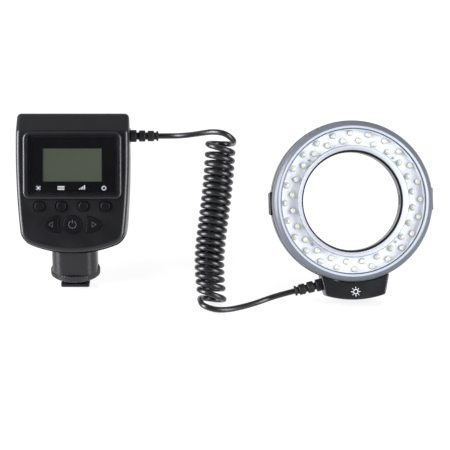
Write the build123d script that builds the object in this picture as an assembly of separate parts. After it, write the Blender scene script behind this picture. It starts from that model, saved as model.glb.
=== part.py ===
"""Macro ring flash: hot-shoe controller, curly cord and ring lamp, in millimetres.

The origin is the centre of the foot's underside. +X points to the ring, +Y away from the
viewer and +Z up. Each case and ring piece is drawn upright and then leaned back.
"""
from build123d import *
import math
import os

# Clearances
slip = 0.15
fit = 0.05
overrun = 5.0

# Controller case, in a frame whose depth runs back from the face and whose height runs up it
case_lean = 20.0
case_front_y = -24.5
case_base_z = 31.6
case_back_y = 22.0
case_floor_z = 26.6
case_height = 90.0
case_low_taper = 3.4
case_low_z = 8.0
case_cheek = 4.7
case_wide_z = 64.0
case_top_taper = 0.8
case_low_round = 10.0
case_wall = 2.0
case_seam_depth = 10.6
case_edge_round = 3.0
case_rear_round = 4.0
case_rear_drop = 1.3
seam_groove = 0.5
brow_z = 78.6
brow_depth = 8.0
brow_round = 4.0
crown_round = 3.5
case_top_round = 5.0
case_heel_round = 9.0

# Raised frame, window and display
frame_margin_side = 3.4
frame_margin_below = 2.9
frame_margin_above = 2.2
frame_rise = 2.2
frame_corner = 4.5
frame_edge_round = 1.7
window_width = 57.6
window_height = 38.6
window_middle_z = 56.8
window_corner = 2.0
window_sink = 0.3
window_thick = 1.0
window_ledge = 1.4
mask_thick = 0.4
display_width = 38.4
display_height = 21.4
display_border = 2.2
display_thick = 2.4
light_guide_border = 1.0

# Main board, rubber sheet and switches
board_depth = 5.0
board_thick = 1.6
board_half = 24.0
board_low_z = 8.5
board_top_z = 80.5
board_post_radius = 1.4
board_post_low = (21.8, 10.4)
board_post_high = (20.0, 78.4)
mat_depth = 3.85
mat_thick = 0.35
mat_half = 23.6
mat_low_z = 12.2
mat_top_z = 35.6
switch_radius = 2.2
board_part_sizes = ((14.0, 14.0, 1.6), (8.0, 6.0, 2.2), (5.0, 9.0, 1.8), (10.0, 5.0, 2.0))
board_part_places = ((-9.0, 26.0), (10.0, 20.0), (14.0, 34.0), (-14.0, 14.5))

# Keys
key_travel = 0.8
key_flange_thick = 0.85
key_gap = 0.1
key_lip = 0.7
round_key_radius = 3.3
round_key_rise = 1.5
round_key_dome = 1.1
round_key_z = 30.1
round_key_pitch = 14.25
round_key_count = 4
round_key_dish = 0.9
round_key_dish_depth = 0.4
nav_key_z = 18.25
nav_key_radius = 5.9
nav_key_rise = 0.9
nav_key_round = 0.5
leaf_key_inner = 8.15
leaf_key_waist = 9.2
leaf_key_tip = 19.0
leaf_key_half_height = 5.5
leaf_key_belly = 14.9
leaf_key_belly_half = 4.0
leaf_key_tip_round = 1.2
leaf_key_corner_round = 0.8

# Case screws, from the back into posts on the front cover
case_screw_inset = 4.9
case_screw_heights = (12.5, 69.0)
case_post_radius = 2.7
case_screw_radius = 1.0
case_screw_bite = 7.0
case_screw_seat = 6.0
case_screw_head_radius = 2.0
case_screw_head_thick = 1.6

# Battery bay and its sliding door, in the upright frame
cell_radius = 5.25
cell_length = 44.5
cell_count = 4
cell_pitch = 10.9
cell_low_z = 44.0
cell_middle_y = 14.15
cell_tip_radius = 1.9
cell_tip_length = 0.8
tray_half = 24.0
tray_wall = 1.0
tray_front_y = 7.4
tray_back_y = 19.85
tray_low_z = 37.0
tray_top_z = 84.0
contact_thick = 0.4
contact_width = 8.0
door_half = 23.4
door_thick = 1.7
door_low_z = 31.0
door_top_z = 85.8
door_travel = 12.0
door_tongue = 1.2
door_tongue_thick = 0.8
door_groove_count = 5
door_groove_pitch = 2.2
door_groove_depth = 0.5
door_groove_width = 16.0
door_rail_inner = 24.2
door_rail_width = 1.6
door_rail_front_y = 18.9
sill_front_y = 18.0
sill_top_z = 36.8

# Pedestal, clamp and hot-shoe foot, in the upright frame
pedestal_width = 29.6
pedestal_depth = 28.4
pedestal_corner = 9.0
pedestal_low_z = 10.65
pedestal_bore_radius = 4.05
pedestal_bore_top_z = 22.0
spigot_width = 20.0
spigot_depth = 18.0
spigot_corner = 4.0
pedestal_plate_width = 26.0
pedestal_plate_depth = 20.0
pedestal_plate_thick = 1.6
pedestal_screw_half = 7.0
pedestal_screw_radius = 1.25
pedestal_screw_length = 8.0
pedestal_screw_head_radius = 2.3
pedestal_screw_head_thick = 1.4
wheel_radius = 16.3
wheel_low_z = 6.35
wheel_thick = 3.9
wheel_edge = 0.5
wheel_notch_count = 84
wheel_notch_radius = 0.42
lock_plate_thick = 1.2
lock_travel = 1.0
foot_width = 18.6
foot_depth = 18.0
foot_thick = 2.0
foot_corner = 0.8
foot_neck = 12.4
foot_neck_top_z = 3.9
stem_radius = 4.0
stem_top_z = 21.5
stem_clearance = 0.1
pin_radius = 1.2
pin_recess = 0.05
pin_length = 5.0
pin_spring_length = 3.85
pin_spring_wall = 0.4
pin_travel = 0.8

# Strain reliefs: lengths and radii of their blocks, from the wall outwards
cord_diameter = 3.7
boot_block_lengths = (3.9, 4.2, 4.2, 1.3)
boot_block_radii = (4.0, 3.7, 3.5, 3.3)
boot_gap = 1.5
boot_core_radius = 2.4
boot_block_round = 0.6
boot_wall_radius = 3.0
boot_flange_radius = 3.4
boot_flange_thick = 1.2
case_boot_y = 16.5
case_boot_z = 96.8
case_collar_radius = 5.0
case_collar_proud = 0.2
case_collar_length = 3.6
clip_length = 2.6
clip_width = 5.2

# Curly part of the cord, from its upper end down
curl_radius_top = 8.3
curl_radius_bottom = 8.0
curl_pitch = 4.47
curl_turns = 21.5
curl_start = (96.1, 1.5, 99.7)
curl_drop = (-4.8, -36.0, -82.9)
curl_loose_top = 4.7
curl_loose_bottom = 4.36
curl_relax_turns = 1.1
curl_tilt_top = 10.4
curl_tilt_bottom = 15.3
curl_sway = 3.26
curl_sway_power = 2.2

# Plain leads of the cord, chosen by hand; each end is worked out from what it meets
lead_straight_case = 6.0
lead_straight_coil = 7.4
lead_straight_coil_bottom = 4.6
lead_straight_pod = 8.0
lead_top_route = [(68.8, 14.4, 97.7), (75.1, 9.9, 100.0), (80.2, 4.3, 102.8), (85.1, -1.4, 105.8),
                  (91.1, -6.4, 108.5), (98.8, -10.2, 109.0)]
lead_bottom_route = [(84.3, -55.9, 8.4), (92.7, -58.4, 6.4), (101.0, -55.3, 5.2), (107.8, -50.5, 4.4),
                     (114.1, -45.2, 3.7), (120.7, -40.2, 3.6), (127.8, -36.1, 4.6)]
lead_bend_share = 0.45

# Ring lamp, in a frame whose depth runs back from the cover's face
ring_lean = 23.0
ring_turn = 4.5
ring_x = 181.6
ring_front_y = -21.2
bore_radius = 31.8
cover_bore_step = 1.4
cover_width = 18.9
cover_wall = 1.6
cover_skirt_depth = 9.4
cover_inner_lip = 2.7
cover_outer_lip = 3.3
cover_inner_slope = 2.6
cover_outer_slope = 4.4
cover_shoulder_step = 0.8
cover_shoulder_depth = 1.9
cover_inner_skirt_depth = 8.0
housing_overhang = 0.3
housing_wall = 1.8
housing_floor_depth = 9.6
housing_floor_thick = 1.6
housing_back_depth = 18.3
housing_collar_front = 8.3
housing_rim_depth = 6.0
lamp_board_gap = 0.4
led_radius = 1.95
led_shoulder_depth = 4.8
led_outer_margin = 4.2
led_inner_margin = 4.1
led_circle_count = 24
reflector_depth = 5.6
reflector_thick = 0.8
reflector_margin = 1.6
reflector_lip = 0.6
reflector_outer_lip_front = 2.6
reflector_inner_lip_front = 3.0
reflector_spacer_radius = 1.2
plate_screw_margin = 3.1
plate_screw_count = 4
plate_screw_radius = 0.5
plate_screw_head_radius = 1.0
plate_screw_head_thick = 0.6
rear_plate_thick = 1.6
ring_screw_inset = 6.0
ring_screw_count = 6
ring_screw_radius = 1.0
ring_screw_post_radius = 2.2
ring_screw_bite = 6.0
ring_screw_head_radius = 1.9
ring_screw_head_thick = 0.8

# Release buttons, latch rings and springs
latch_bore_gap = 3.8
latch_width = 3.3
latch_thick = 2.4
latch_front_depths = (11.6, 15.0)
latch_travel = 1.2
latch_neck_half = 5.0
claw_gap = 0.35
claw_half = 3.6
button_reach = 1.3
button_root = 7.2
button_half = 7.5
button_front_depth = 11.7
button_back_depth = 17.3
button_round = 1.5
spring_radius = 1.3
spring_wall = 0.5
spring_pocket_depth = 5.0
spring_post_gap = 2.1
spring_post_thick = 1.9
spring_post_half = 2.6

# Pod under the ring
pod_front_depth = 3.0
pod_parting_depth = 12.0
pod_back_depth = 20.8
pod_height = 11.2
pod_top_half = 22.1
pod_low_half = 19.4
pod_wall = 1.6
pod_corner = 2.5
pod_back_round = 1.0
pod_boot_inset = 0.8
pod_boot_drop = 12.0
pod_lug_half = 9.0
pod_lug_drop = 3.0
pod_lug_front_depth = 13.0
pod_lug_back_depth = 17.6
pod_screw_sides = (-11.5, 13.6)
pod_screw_inset = 5.6
pod_screw_radius = 0.9
pod_screw_post_radius = 2.1
pod_screw_head_radius = 1.8
pod_screw_head_sink = 1.2
pod_screw_bite = 5.0
driver_left = -8.6
driver_right = 10.6
driver_low_inset = 7.8
driver_top_inset = 2.8
driver_front_depth = 8.6
driver_thick = 1.2
driver_post_radius = 1.0

# Sizes that follow from those above: case, from the window outwards
frame_half = window_width / 2 + frame_margin_side
frame_low_z = window_middle_z - window_height / 2 - frame_margin_below
frame_top_z = window_middle_z + window_height / 2 + frame_margin_above
case_wide_half = frame_half + case_cheek
case_low_half = case_wide_half - case_low_taper
case_top_half = case_wide_half - case_top_taper
case_screw_half = case_low_half - case_screw_inset
case_collar_x = case_wide_half + case_collar_proud
boot_blocks = list(zip(boot_block_lengths, boot_block_radii))

# Sizes that follow: ring, from its bore outwards
cover_inner_radius = bore_radius + cover_bore_step
cover_radius = cover_inner_radius + cover_width
cover_face_inner = cover_inner_radius + cover_inner_lip
cover_face_outer = cover_radius - cover_outer_lip
cover_shoulder_radius = cover_radius - cover_shoulder_step
housing_radius = cover_radius + housing_overhang
housing_rim_radius = cover_radius - cover_wall - 2 * slip
lamp_board_inner = cover_inner_radius + cover_wall + lamp_board_gap
lamp_board_outer = housing_rim_radius - cover_wall - lamp_board_gap
led_circle_radii = (lamp_board_outer - led_outer_margin, lamp_board_inner + led_inner_margin)
reflector_outer = lamp_board_outer - reflector_margin
plate_screw_circle = lamp_board_inner + plate_screw_margin
ring_screw_circle = housing_radius - ring_screw_inset
latch_inner = bore_radius + latch_bore_gap
latch_outer = latch_inner + latch_width
claw_radius = bore_radius + claw_gap
button_outer_x = housing_radius + button_reach
button_inner_x = housing_radius - button_root
spring_post_x = button_inner_x - spring_post_gap
pod_radius = housing_radius + pod_height
pod_boot_z = -housing_radius - pod_boot_inset
pod_screw_places = [(x, -housing_radius - pod_screw_inset) for x in pod_screw_sides]
driver_low_z = -housing_radius - driver_low_inset
driver_top_z = -housing_radius - driver_top_inset

lean_sine = math.sin(math.radians(case_lean))
lean_cosine = math.cos(math.radians(case_lean))
pod_low_depth = pod_back_depth - pod_back_round
pod_low_radius = pod_radius - pod_back_round
ring_z = (pod_low_depth * math.sin(math.radians(ring_lean))
          + pod_low_radius * math.cos(math.radians(ring_lean)) + pod_back_round)
case_place = Location((0, case_front_y, case_base_z), (-case_lean, 0, 0))
ring_place = Pos(ring_x, ring_front_y, ring_z) * Rotation(0, 0, ring_turn) * Rotation(-ring_lean, 0, 0)


# Drawing helpers
def slab(outline, front, back):
    """A plate from depth front to depth back, its outline drawn as seen from the front."""
    plane = Plane(origin=(0, back, 0), x_dir=(1, 0, 0), z_dir=(0, -1, 0))
    return extrude(plane * outline, amount=back - front)


def across(outline, half):
    """A bar reaching half to each side of the middle, its outline drawn in depth and height."""
    plane = Plane(origin=(-half, 0, 0), x_dir=(0, 1, 0), z_dir=(1, 0, 0))
    return extrude(plane * outline, amount=2 * half)


def block(low, high):
    """A box between two opposite corners."""
    size = [b - a for a, b in zip(low, high)]
    return Pos(*low) * Box(*size, align=(Align.MIN, Align.MIN, Align.MIN))


def peg(x, z, radius, front, back):
    """A round bar along the depth."""
    return slab(Pos(x, z) * Circle(radius), front, back)


def pillar(radius, low, high):
    """A round bar along +Z on the axis."""
    return Pos(0, 0, low) * Cylinder(radius, high - low, align=(Align.CENTER, Align.CENTER, Align.MIN))


def turned(*points):
    """A ring turned round the depth axis from points of radius and depth."""
    return revolve(make_face(Polyline(*points, close=True)), Axis.Y)


def rounded(outline, corners):
    """The outline with the corner nearest to each place rounded."""
    for place, radius in corners:
        near = min(outline.vertices(), key=lambda corner: (corner.center() - Vector(*place)).length)
        outline = fillet(near, radius)
    return outline


def spread(count, radius, first=0):
    """Places at equal angles on a circle, as seen from the front."""
    angles = [math.radians(first + 360 * i / count) for i in range(count)]
    return [(radius * math.cos(angle), radius * math.sin(angle)) for angle in angles]


def slanted_edges(solid, seam):
    """Edges that run round a case half, without those on its seam, along its depth or across its top."""
    kept = ShapeList()
    for edge in solid.edges():
        on_seam = abs((edge @ 0).Y - seam) < fit and abs((edge @ 1).Y - seam) < fit
        direction = edge % 0.5
        along_depth = abs(direction.Y) > 1 - 1e-6
        across_top = abs(direction.X) > 1 - 1e-6 and edge.length > case_wide_half
        across_low = (edge @ 0.5).Z < case_low_z
        if not on_seam and not along_depth and (not across_top or across_low):
            kept.append(edge)
    return kept


# Case outlines
def in_case(y, z):
    """Depth and height in the case's frame of a point given in the upright frame."""
    back = y - case_front_y
    up = z - case_base_z
    return back * lean_cosine - up * lean_sine, back * lean_sine + up * lean_cosine


def case_outline(inset=0):
    """The case as seen from the front, drawn in by inset: bowed bottom, slightly bowed sides."""
    top = case_height + overrun
    bow = (case_low_half ** 2 + case_low_z ** 2) / (2 * case_low_z)
    low_half = case_low_half - inset
    low_z = bow - math.sqrt((bow - inset) ** 2 - low_half ** 2)
    bottom = ThreePointArc((-low_half, low_z), (0, inset), (low_half, low_z))
    right = ThreePointArc((low_half, low_z), (case_wide_half - inset, case_wide_z), (case_top_half - inset, top))
    cap = Line((case_top_half - inset, top), (inset - case_top_half, top))
    left = ThreePointArc((inset - case_top_half, top), (inset - case_wide_half, case_wide_z), (-low_half, low_z))
    outline = make_face(Curve() + [bottom, right, cap, left])
    corner = case_low_round - inset
    return rounded(outline, [((-low_half, low_z), corner), ((low_half, low_z), corner)])


def case_profile(inset=0):
    """The case as seen from its side: face, sloping brow, top, upright back and level floor."""
    heel = in_case(case_back_y, case_floor_z)
    slope = in_case(case_back_y, case_floor_z + case_height)
    share = (case_height - heel[1]) / (slope[1] - heel[1])
    top_back = (heel[0] + share * (slope[0] - heel[0]), case_height)
    floor_rise = (case_floor_z - case_base_z + case_seam_depth * lean_sine) / lean_cosine
    points = [(0, -overrun), (0, brow_z), (brow_depth, case_height), top_back, heel,
              (case_seam_depth, floor_rise), (case_seam_depth, -overrun)]
    outline = make_face(Polyline(*points, close=True))
    if inset:
        outline = offset(outline, -inset, kind=Kind.INTERSECTION)
    return rounded(outline, [(points[1], brow_round - inset), (points[2], crown_round - inset),
                             (top_back, case_top_round - inset), (heel, case_heel_round - inset)])


def case_screw_places():
    return [(side * case_screw_half, z) for z in case_screw_heights for side in (-1, 1)]


# Keys
def round_key_places():
    first = -round_key_pitch * (round_key_count - 1) / 2
    return [(first + round_key_pitch * i, round_key_z) for i in range(round_key_count)]


def leaf_outline(side, grow):
    """A leaf-shaped key grown by so much: pointed outside, slightly hollow towards the middle key."""
    tip = (side * (leaf_key_tip + grow), nav_key_z)
    half = leaf_key_half_height + grow
    upper = (side * (leaf_key_inner - grow), nav_key_z + half)
    lower = (side * (leaf_key_inner - grow), nav_key_z - half)
    belly = leaf_key_belly_half + grow
    edges = [ThreePointArc(tip, (side * leaf_key_belly, nav_key_z + belly), upper),
             ThreePointArc(upper, (side * (leaf_key_waist - grow), nav_key_z), lower),
             ThreePointArc(lower, (side * leaf_key_belly, nav_key_z - belly), tip)]
    outline = make_face(Curve() + edges)
    return rounded(outline, [(tip, leaf_key_tip_round + grow), (upper, leaf_key_corner_round + grow),
                             (lower, leaf_key_corner_round + grow)])


def key_outlines(grow=0):
    """Every key's name, outline grown by so much, rise above the face and edge rounding."""
    keys = []
    for i, (x, z) in enumerate(round_key_places()):
        outline = Pos(x, z) * Circle(round_key_radius + grow)
        keys.append(("round_key_" + str(i + 1), outline, round_key_rise, round_key_dome))
    middle = Pos(0, nav_key_z) * Circle(nav_key_radius + grow)
    keys.append(("nav_key_left", leaf_outline(-1, grow), nav_key_rise, nav_key_round))
    keys.append(("nav_key_centre", middle, nav_key_rise, nav_key_round))
    keys.append(("nav_key_right", leaf_outline(1, grow), nav_key_rise, nav_key_round))
    return keys


def make_keys():
    keys = {}
    flange_front = case_wall + key_gap
    for (name, outline, rise, rounding), wider in zip(key_outlines(), key_outlines(key_lip)):
        cap = slab(outline, -rise, flange_front)
        cap = fillet(cap.faces().sort_by(Axis.Y)[0].edges(), rounding)
        keys[name] = cap + slab(wider[1], flange_front, flange_front + key_flange_thick)
    return keys


def key_switch_places():
    leaf_middle = (leaf_key_inner + leaf_key_tip) / 2
    nav = [(-leaf_middle, nav_key_z), (0, nav_key_z), (leaf_middle, nav_key_z)]
    return round_key_places() + nav


# Front half of the case
def make_front_cover(outline, profile):
    shell = slab(outline, 0, case_seam_depth) & across(profile, case_wide_half + overrun)
    shell = fillet(slanted_edges(shell, case_seam_depth), case_edge_round)
    frame_height = frame_top_z - frame_low_z
    frame_outline = Pos(0, frame_low_z + frame_height / 2) * RectangleRounded(
        2 * frame_half, frame_height, frame_corner)
    frame = slab(frame_outline, -frame_rise, case_wall)
    frame = fillet(frame.faces().sort_by(Axis.Y)[0].edges(), frame_edge_round)
    hollow = slab(case_outline(case_wall), case_wall, case_seam_depth + overrun)
    shell = shell + frame - (hollow & across(case_profile(case_wall), case_wide_half))
    for x, z in case_screw_places():
        shell += peg(x, z, case_post_radius, case_wall / 2, case_seam_depth)
        shell -= peg(x, z, case_screw_radius + fit, case_seam_depth - case_screw_bite, case_seam_depth)
    for half, z in (board_post_low, board_post_high):
        shell += peg(-half, z, board_post_radius, case_wall / 2, board_depth)
        shell += peg(half, z, board_post_radius, case_wall / 2, board_depth)
    recess = Pos(0, window_middle_z) * RectangleRounded(window_width + 2 * slip, window_height + 2 * slip,
                                                        window_corner)
    window_back = -frame_rise + window_sink + window_thick
    shell -= slab(recess, -frame_rise - overrun, window_back)
    opening = Pos(0, window_middle_z) * Rectangle(window_width - 2 * window_ledge,
                                                  window_height - 2 * window_ledge)
    shell -= slab(opening, window_back - overrun, case_wall + overrun / 2)
    for name, hole, rise, rounding in key_outlines(slip):
        shell -= slab(hole, -overrun, board_depth)
    for name, dish, rise, rounding in key_outlines(round_key_dish)[:round_key_count]:
        shell -= slab(dish, -overrun, round_key_dish_depth)
    return shell


def make_window_parts():
    """Window plate, printed border, display glass and light guide, one behind the other."""
    middle = Pos(0, window_middle_z)
    front = -frame_rise + window_sink
    window_back = front + window_thick
    window = slab(middle * RectangleRounded(window_width, window_height, window_corner), front, window_back)
    opening_width = window_width - 2 * window_ledge - 2 * slip
    opening_height = window_height - 2 * window_ledge - 2 * slip
    mask_back = window_back + fit + mask_thick
    mask = slab(middle * (Rectangle(opening_width, opening_height)
                          - Rectangle(display_width, display_height)), window_back + fit, mask_back)
    glass_back = mask_back + fit + display_thick
    glass = Rectangle(display_width + 2 * display_border, display_height + 2 * display_border)
    panel = slab(middle * glass, mask_back + fit, glass_back)
    guide = offset(glass, light_guide_border)
    backlight = slab(middle * guide, glass_back + fit, board_depth - fit)
    return {"display_window": window, "window_mask": mask, "lcd_panel": panel, "lcd_backlight": backlight}


def make_boards():
    mat = slab(Pos(0, (mat_low_z + mat_top_z) / 2) * Rectangle(2 * mat_half, mat_top_z - mat_low_z),
               mat_depth, mat_depth + mat_thick)
    switches = [peg(x, z, switch_radius, mat_depth + mat_thick + fit, board_depth)
                for x, z in key_switch_places()]
    board = slab(Pos(0, (board_low_z + board_top_z) / 2) * Rectangle(2 * board_half, board_top_z - board_low_z),
                 board_depth, board_depth + board_thick)
    chips = []
    for (width, height, thick), (x, z) in zip(board_part_sizes, board_part_places):
        chip = slab(Pos(x, z) * Rectangle(width, height), board_depth + board_thick,
                    board_depth + board_thick + thick)
        chips.append(chip)
    return {"key_mat": mat, "key_switches": Part() + switches, "main_board": board,
            "board_parts": Part() + chips}


def make_case_screws():
    screws = []
    seat = case_seam_depth + case_screw_seat
    for x, z in case_screw_places():
        shank = peg(x, z, case_screw_radius, case_seam_depth - case_screw_bite + slip, seat)
        head = peg(x, z, case_screw_head_radius, seat, seat + case_screw_head_thick)
        screws.append(shank + head)
    return Part() + screws


# Rear half of the case
def rear_body(outline, profile):
    """The rear half before it is hollowed, with the groove along the seam."""
    lowered = Pos(0, -case_rear_drop) * outline
    far = in_case(case_back_y, case_floor_z)[0] + overrun
    bar = across(profile, case_wide_half + overrun)
    body = slab(lowered, case_seam_depth, far) & bar
    body = fillet(slanted_edges(body, case_seam_depth), case_rear_round)
    inner = Pos(0, -case_rear_drop) * case_outline(seam_groove)
    groove = slab(lowered, case_seam_depth, case_seam_depth + seam_groove)
    return body - (groove - slab(inner, case_seam_depth, case_seam_depth + seam_groove))


def make_rear_cover(body):
    lowered = Pos(0, -case_rear_drop) * case_outline(case_wall)
    far = in_case(case_back_y, case_floor_z)[0] + overrun
    shell = body - (slab(lowered, case_seam_depth, far) & across(case_profile(case_wall), case_wide_half))
    seat = case_seam_depth + case_screw_seat
    for x, z in case_screw_places():
        shell += peg(x, z, case_post_radius, case_seam_depth, far) & body
        shell -= peg(x, z, case_screw_radius + slip, case_seam_depth, seat)
        shell -= peg(x, z, case_screw_head_radius + slip, seat, far)
    shell = case_place * shell
    shell += door_supports()
    shell -= door_cuts()
    floor_hole = RectangleRounded(spigot_width + 2 * slip, spigot_depth + 2 * slip, spigot_corner)
    shell -= Pos(0, 0, case_floor_z) * extrude(floor_hole, amount=case_wall + overrun, both=True)
    collar = Cylinder(case_collar_radius, case_collar_length, align=(Align.CENTER, Align.CENTER, Align.MAX))
    shell += case_boot_place() * collar
    boot_hole = Cylinder(boot_wall_radius + slip, case_collar_length + overrun,
                         align=(Align.CENTER, Align.CENTER, Align.CENTER))
    return shell - case_boot_place() * boot_hole


def door_supports():
    """Rails beside the door and the sill under it."""
    inner_back = case_back_y - case_wall + slip
    parts = Part()
    for side in (-1, 1):
        edges = sorted((side * door_rail_inner, side * (door_rail_inner + door_rail_width)))
        parts += block((edges[0], door_rail_front_y, door_low_z), (edges[1], inner_back, door_top_z))
    sill = block((-door_rail_inner, sill_front_y, door_low_z - slip), (door_rail_inner, inner_back, sill_top_z))
    return parts + sill


def door_cuts():
    """The door's recess, its tongue slots and the way into the battery bay."""
    inner = case_back_y - case_wall + 2 * fit
    top = door_top_z + slip
    recess = block((-door_half - slip, inner, door_low_z - case_wall),
                   (door_half + slip, case_back_y + overrun, top))
    slot_half = door_half + door_tongue + 2 * slip
    slot = block((-slot_half, inner, door_low_z - case_wall),
                 (slot_half, inner + door_tongue_thick + 2 * slip, top))
    way_in = block((-door_rail_inner, case_back_y - case_wall - fit, sill_top_z),
                   (door_rail_inner, case_back_y, top))
    return recess + slot + way_in


def make_battery_door(body):
    """The door is flush with the case, so it is cut from the case's own outer shape."""
    front = case_back_y - case_wall + 2 * fit + slip / 2
    plate = block((-door_half, front, door_low_z), (door_half, front + door_thick, door_top_z))
    plate = plate & (case_place * body)
    for i in range(door_groove_count):
        z = door_low_z + door_groove_pitch * (i + door_groove_count / 2)
        groove = block((-door_groove_width / 2, front + door_thick - door_groove_depth, z),
                       (door_groove_width / 2, front + door_thick + overrun, z + door_groove_pitch / 2))
        plate -= groove
    for side in (-1, 1):
        edges = sorted((side * (door_half - door_tongue), side * (door_half + door_tongue)))
        plate += block((edges[0], front, sill_top_z), (edges[1], front + door_tongue_thick, door_top_z))
    return plate


def cell_heights():
    return [cell_low_z + cell_pitch * i for i in range(cell_count)]


def make_battery_parts():
    tray = block((-tray_half, tray_front_y, tray_low_z), (tray_half, tray_back_y, tray_top_z))
    tray -= block((-tray_half + tray_wall, tray_front_y + tray_wall, tray_low_z + tray_wall),
                  (tray_half - tray_wall, tray_back_y + overrun, tray_top_z - tray_wall))
    cells = []
    contacts = []
    along_x = Rotation(0, 90, 0)
    plate_x = tray_half - tray_wall - contact_thick / 2 - fit
    for i, z in enumerate(cell_heights()):
        side = 1 if i % 2 else -1
        can = along_x * Cylinder(cell_radius, cell_length - cell_tip_length)
        tip = along_x * Cylinder(cell_tip_radius, cell_tip_length)
        can = Pos(-side * cell_tip_length / 2, cell_middle_y, z) * can
        tip = Pos(side * (cell_length - cell_tip_length) / 2, cell_middle_y, z) * tip
        cells.append(can + tip)
        for end in (-1, 1):
            contacts.append(Pos(end * plate_x, cell_middle_y, z) * Box(contact_thick, contact_width, contact_width))
    return {"battery_tray": tray, "battery_cells": Part() + cells, "cell_contacts": Part() + contacts}


# Pedestal, clamp and foot
def make_pedestal():
    column = extrude(RectangleRounded(pedestal_width, pedestal_depth, pedestal_corner),
                     amount=case_floor_z - pedestal_low_z)
    spigot = extrude(RectangleRounded(spigot_width, spigot_depth, spigot_corner),
                     amount=case_floor_z - pedestal_low_z + case_wall)
    pedestal = Pos(0, 0, pedestal_low_z) * (column + spigot)
    pedestal -= pillar(pedestal_bore_radius, pedestal_low_z - overrun, pedestal_bore_top_z)
    screw_top = case_floor_z + case_wall
    for side in (-1, 1):
        hole = pillar(pedestal_screw_radius + fit, screw_top - pedestal_screw_length, screw_top + overrun)
        pedestal -= Pos(side * pedestal_screw_half, 0, 0) * hole
    return pedestal


def make_pedestal_fixings():
    low = case_floor_z + case_wall + fit
    top = low + pedestal_plate_thick
    plate = Pos(0, 0, low) * extrude(Rectangle(pedestal_plate_width, pedestal_plate_depth),
                                     amount=pedestal_plate_thick)
    screws = []
    for side in (-1, 1):
        place = Pos(side * pedestal_screw_half, 0, 0)
        plate -= place * pillar(pedestal_screw_radius + slip, low - overrun, top + overrun)
        shank = pillar(pedestal_screw_radius, case_floor_z + case_wall - pedestal_screw_length + slip, top)
        head = pillar(pedestal_screw_head_radius, top, top + pedestal_screw_head_thick)
        screws.append(place * (shank + head))
    return {"pedestal_plate": plate, "pedestal_screws": Part() + screws}


def make_lock_wheel():
    wheel = pillar(wheel_radius, wheel_low_z, wheel_low_z + wheel_thick)
    wheel = chamfer(wheel.faces().filter_by(Axis.Z).edges(), wheel_edge)
    wheel -= pillar(stem_radius + stem_clearance, wheel_low_z - overrun, wheel_low_z + wheel_thick + overrun)
    notches = PolarLocations(wheel_radius, wheel_notch_count) * pillar(
        wheel_notch_radius, wheel_low_z - overrun, wheel_low_z + wheel_thick + overrun)
    return wheel - notches


def foot_plate(low, high):
    outline = Rectangle(foot_width, foot_depth)
    outline = chamfer(outline.vertices(), foot_corner)
    return Pos(0, 0, low) * extrude(outline, amount=high - low)


def make_foot_parts():
    plate_top = wheel_low_z - stem_clearance
    lock_plate = foot_plate(plate_top - lock_plate_thick, plate_top)
    lock_plate -= pillar(stem_radius + 2 * stem_clearance, 0, plate_top + overrun)
    foot = foot_plate(0, foot_thick)
    foot += Pos(0, 0, foot_thick) * extrude(Rectangle(foot_neck, foot_neck), amount=foot_neck_top_z - foot_thick)
    foot += pillar(stem_radius, foot_neck_top_z, stem_top_z)
    bore_top = pin_length + fit + pin_spring_length + 2 * fit
    foot -= pillar(pin_radius + stem_clearance, -overrun, bore_top)
    pin = pillar(pin_radius, pin_recess, pin_length)
    spring_low = pin_length + fit
    spring = pillar(pin_radius, spring_low, spring_low + pin_spring_length)
    spring -= pillar(pin_radius - pin_spring_wall, 0, stem_top_z)
    return {"lock_plate": lock_plate, "shoe_foot": foot, "centre_contact": pin, "contact_spring": spring}


# Strain reliefs and cord
def case_boot_place():
    """Where the cord leaves the case: +Z points out along the cord."""
    return Location((case_collar_x, case_boot_y, case_boot_z), (0, 90, 0))


def pod_side_x(z):
    """Half width of the pod at a height below the ring's centre."""
    top_z = -math.sqrt((housing_radius + stem_clearance) ** 2 - pod_top_half ** 2)
    low_z = -math.sqrt(pod_radius ** 2 - pod_low_half ** 2)
    share = (z - top_z) / (low_z - top_z)
    return pod_top_half + share * (pod_low_half - pod_top_half)


def pod_boot_place():
    """Where the cord leaves the pod, in the upright frame: +Z points out along the cord."""
    root = Pos(-pod_side_x(pod_boot_z), pod_parting_depth, pod_boot_z)
    return ring_place * root * Rotation(0, -90 - pod_boot_drop, 0)


def boot_length():
    return sum(length for length, radius in boot_blocks) + boot_gap * (len(boot_blocks) - 1)


def make_boot(wall):
    """A segmented strain relief along +Z: flange inside the wall, then blocks that get smaller."""
    boot = pillar(boot_flange_radius, -wall - fit - boot_flange_thick, -wall - fit)
    boot += pillar(boot_wall_radius, -wall - fit, fit)
    low = fit
    for i, (length, radius) in enumerate(boot_blocks):
        ring = pillar(radius, low, low + length)
        rounding = min(boot_block_round, length / 3)
        boot += fillet(ring.edges().filter_by(GeomType.CIRCLE), rounding)
        low += length
        if i < len(boot_blocks) - 1:
            boot += pillar(boot_core_radius, low - rounding, low + boot_gap + rounding)
            low += boot_gap
    return boot


def make_clip(wall):
    """The block behind a strain relief that grips the cord's end."""
    top = -wall - fit - boot_flange_thick - fit
    return Pos(0, 0, top - clip_length) * extrude(
        Rectangle(clip_width, clip_width) - Circle(cord_diameter / 2), amount=clip_length)


def curl_axes():
    """Unit vectors down the coil, to its right and to its back."""
    down = Vector(*curl_drop).normalized()
    right = (Vector(1, 0, 0) - down * down.X).normalized()
    back = right.cross(down)
    return down, right, back


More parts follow.
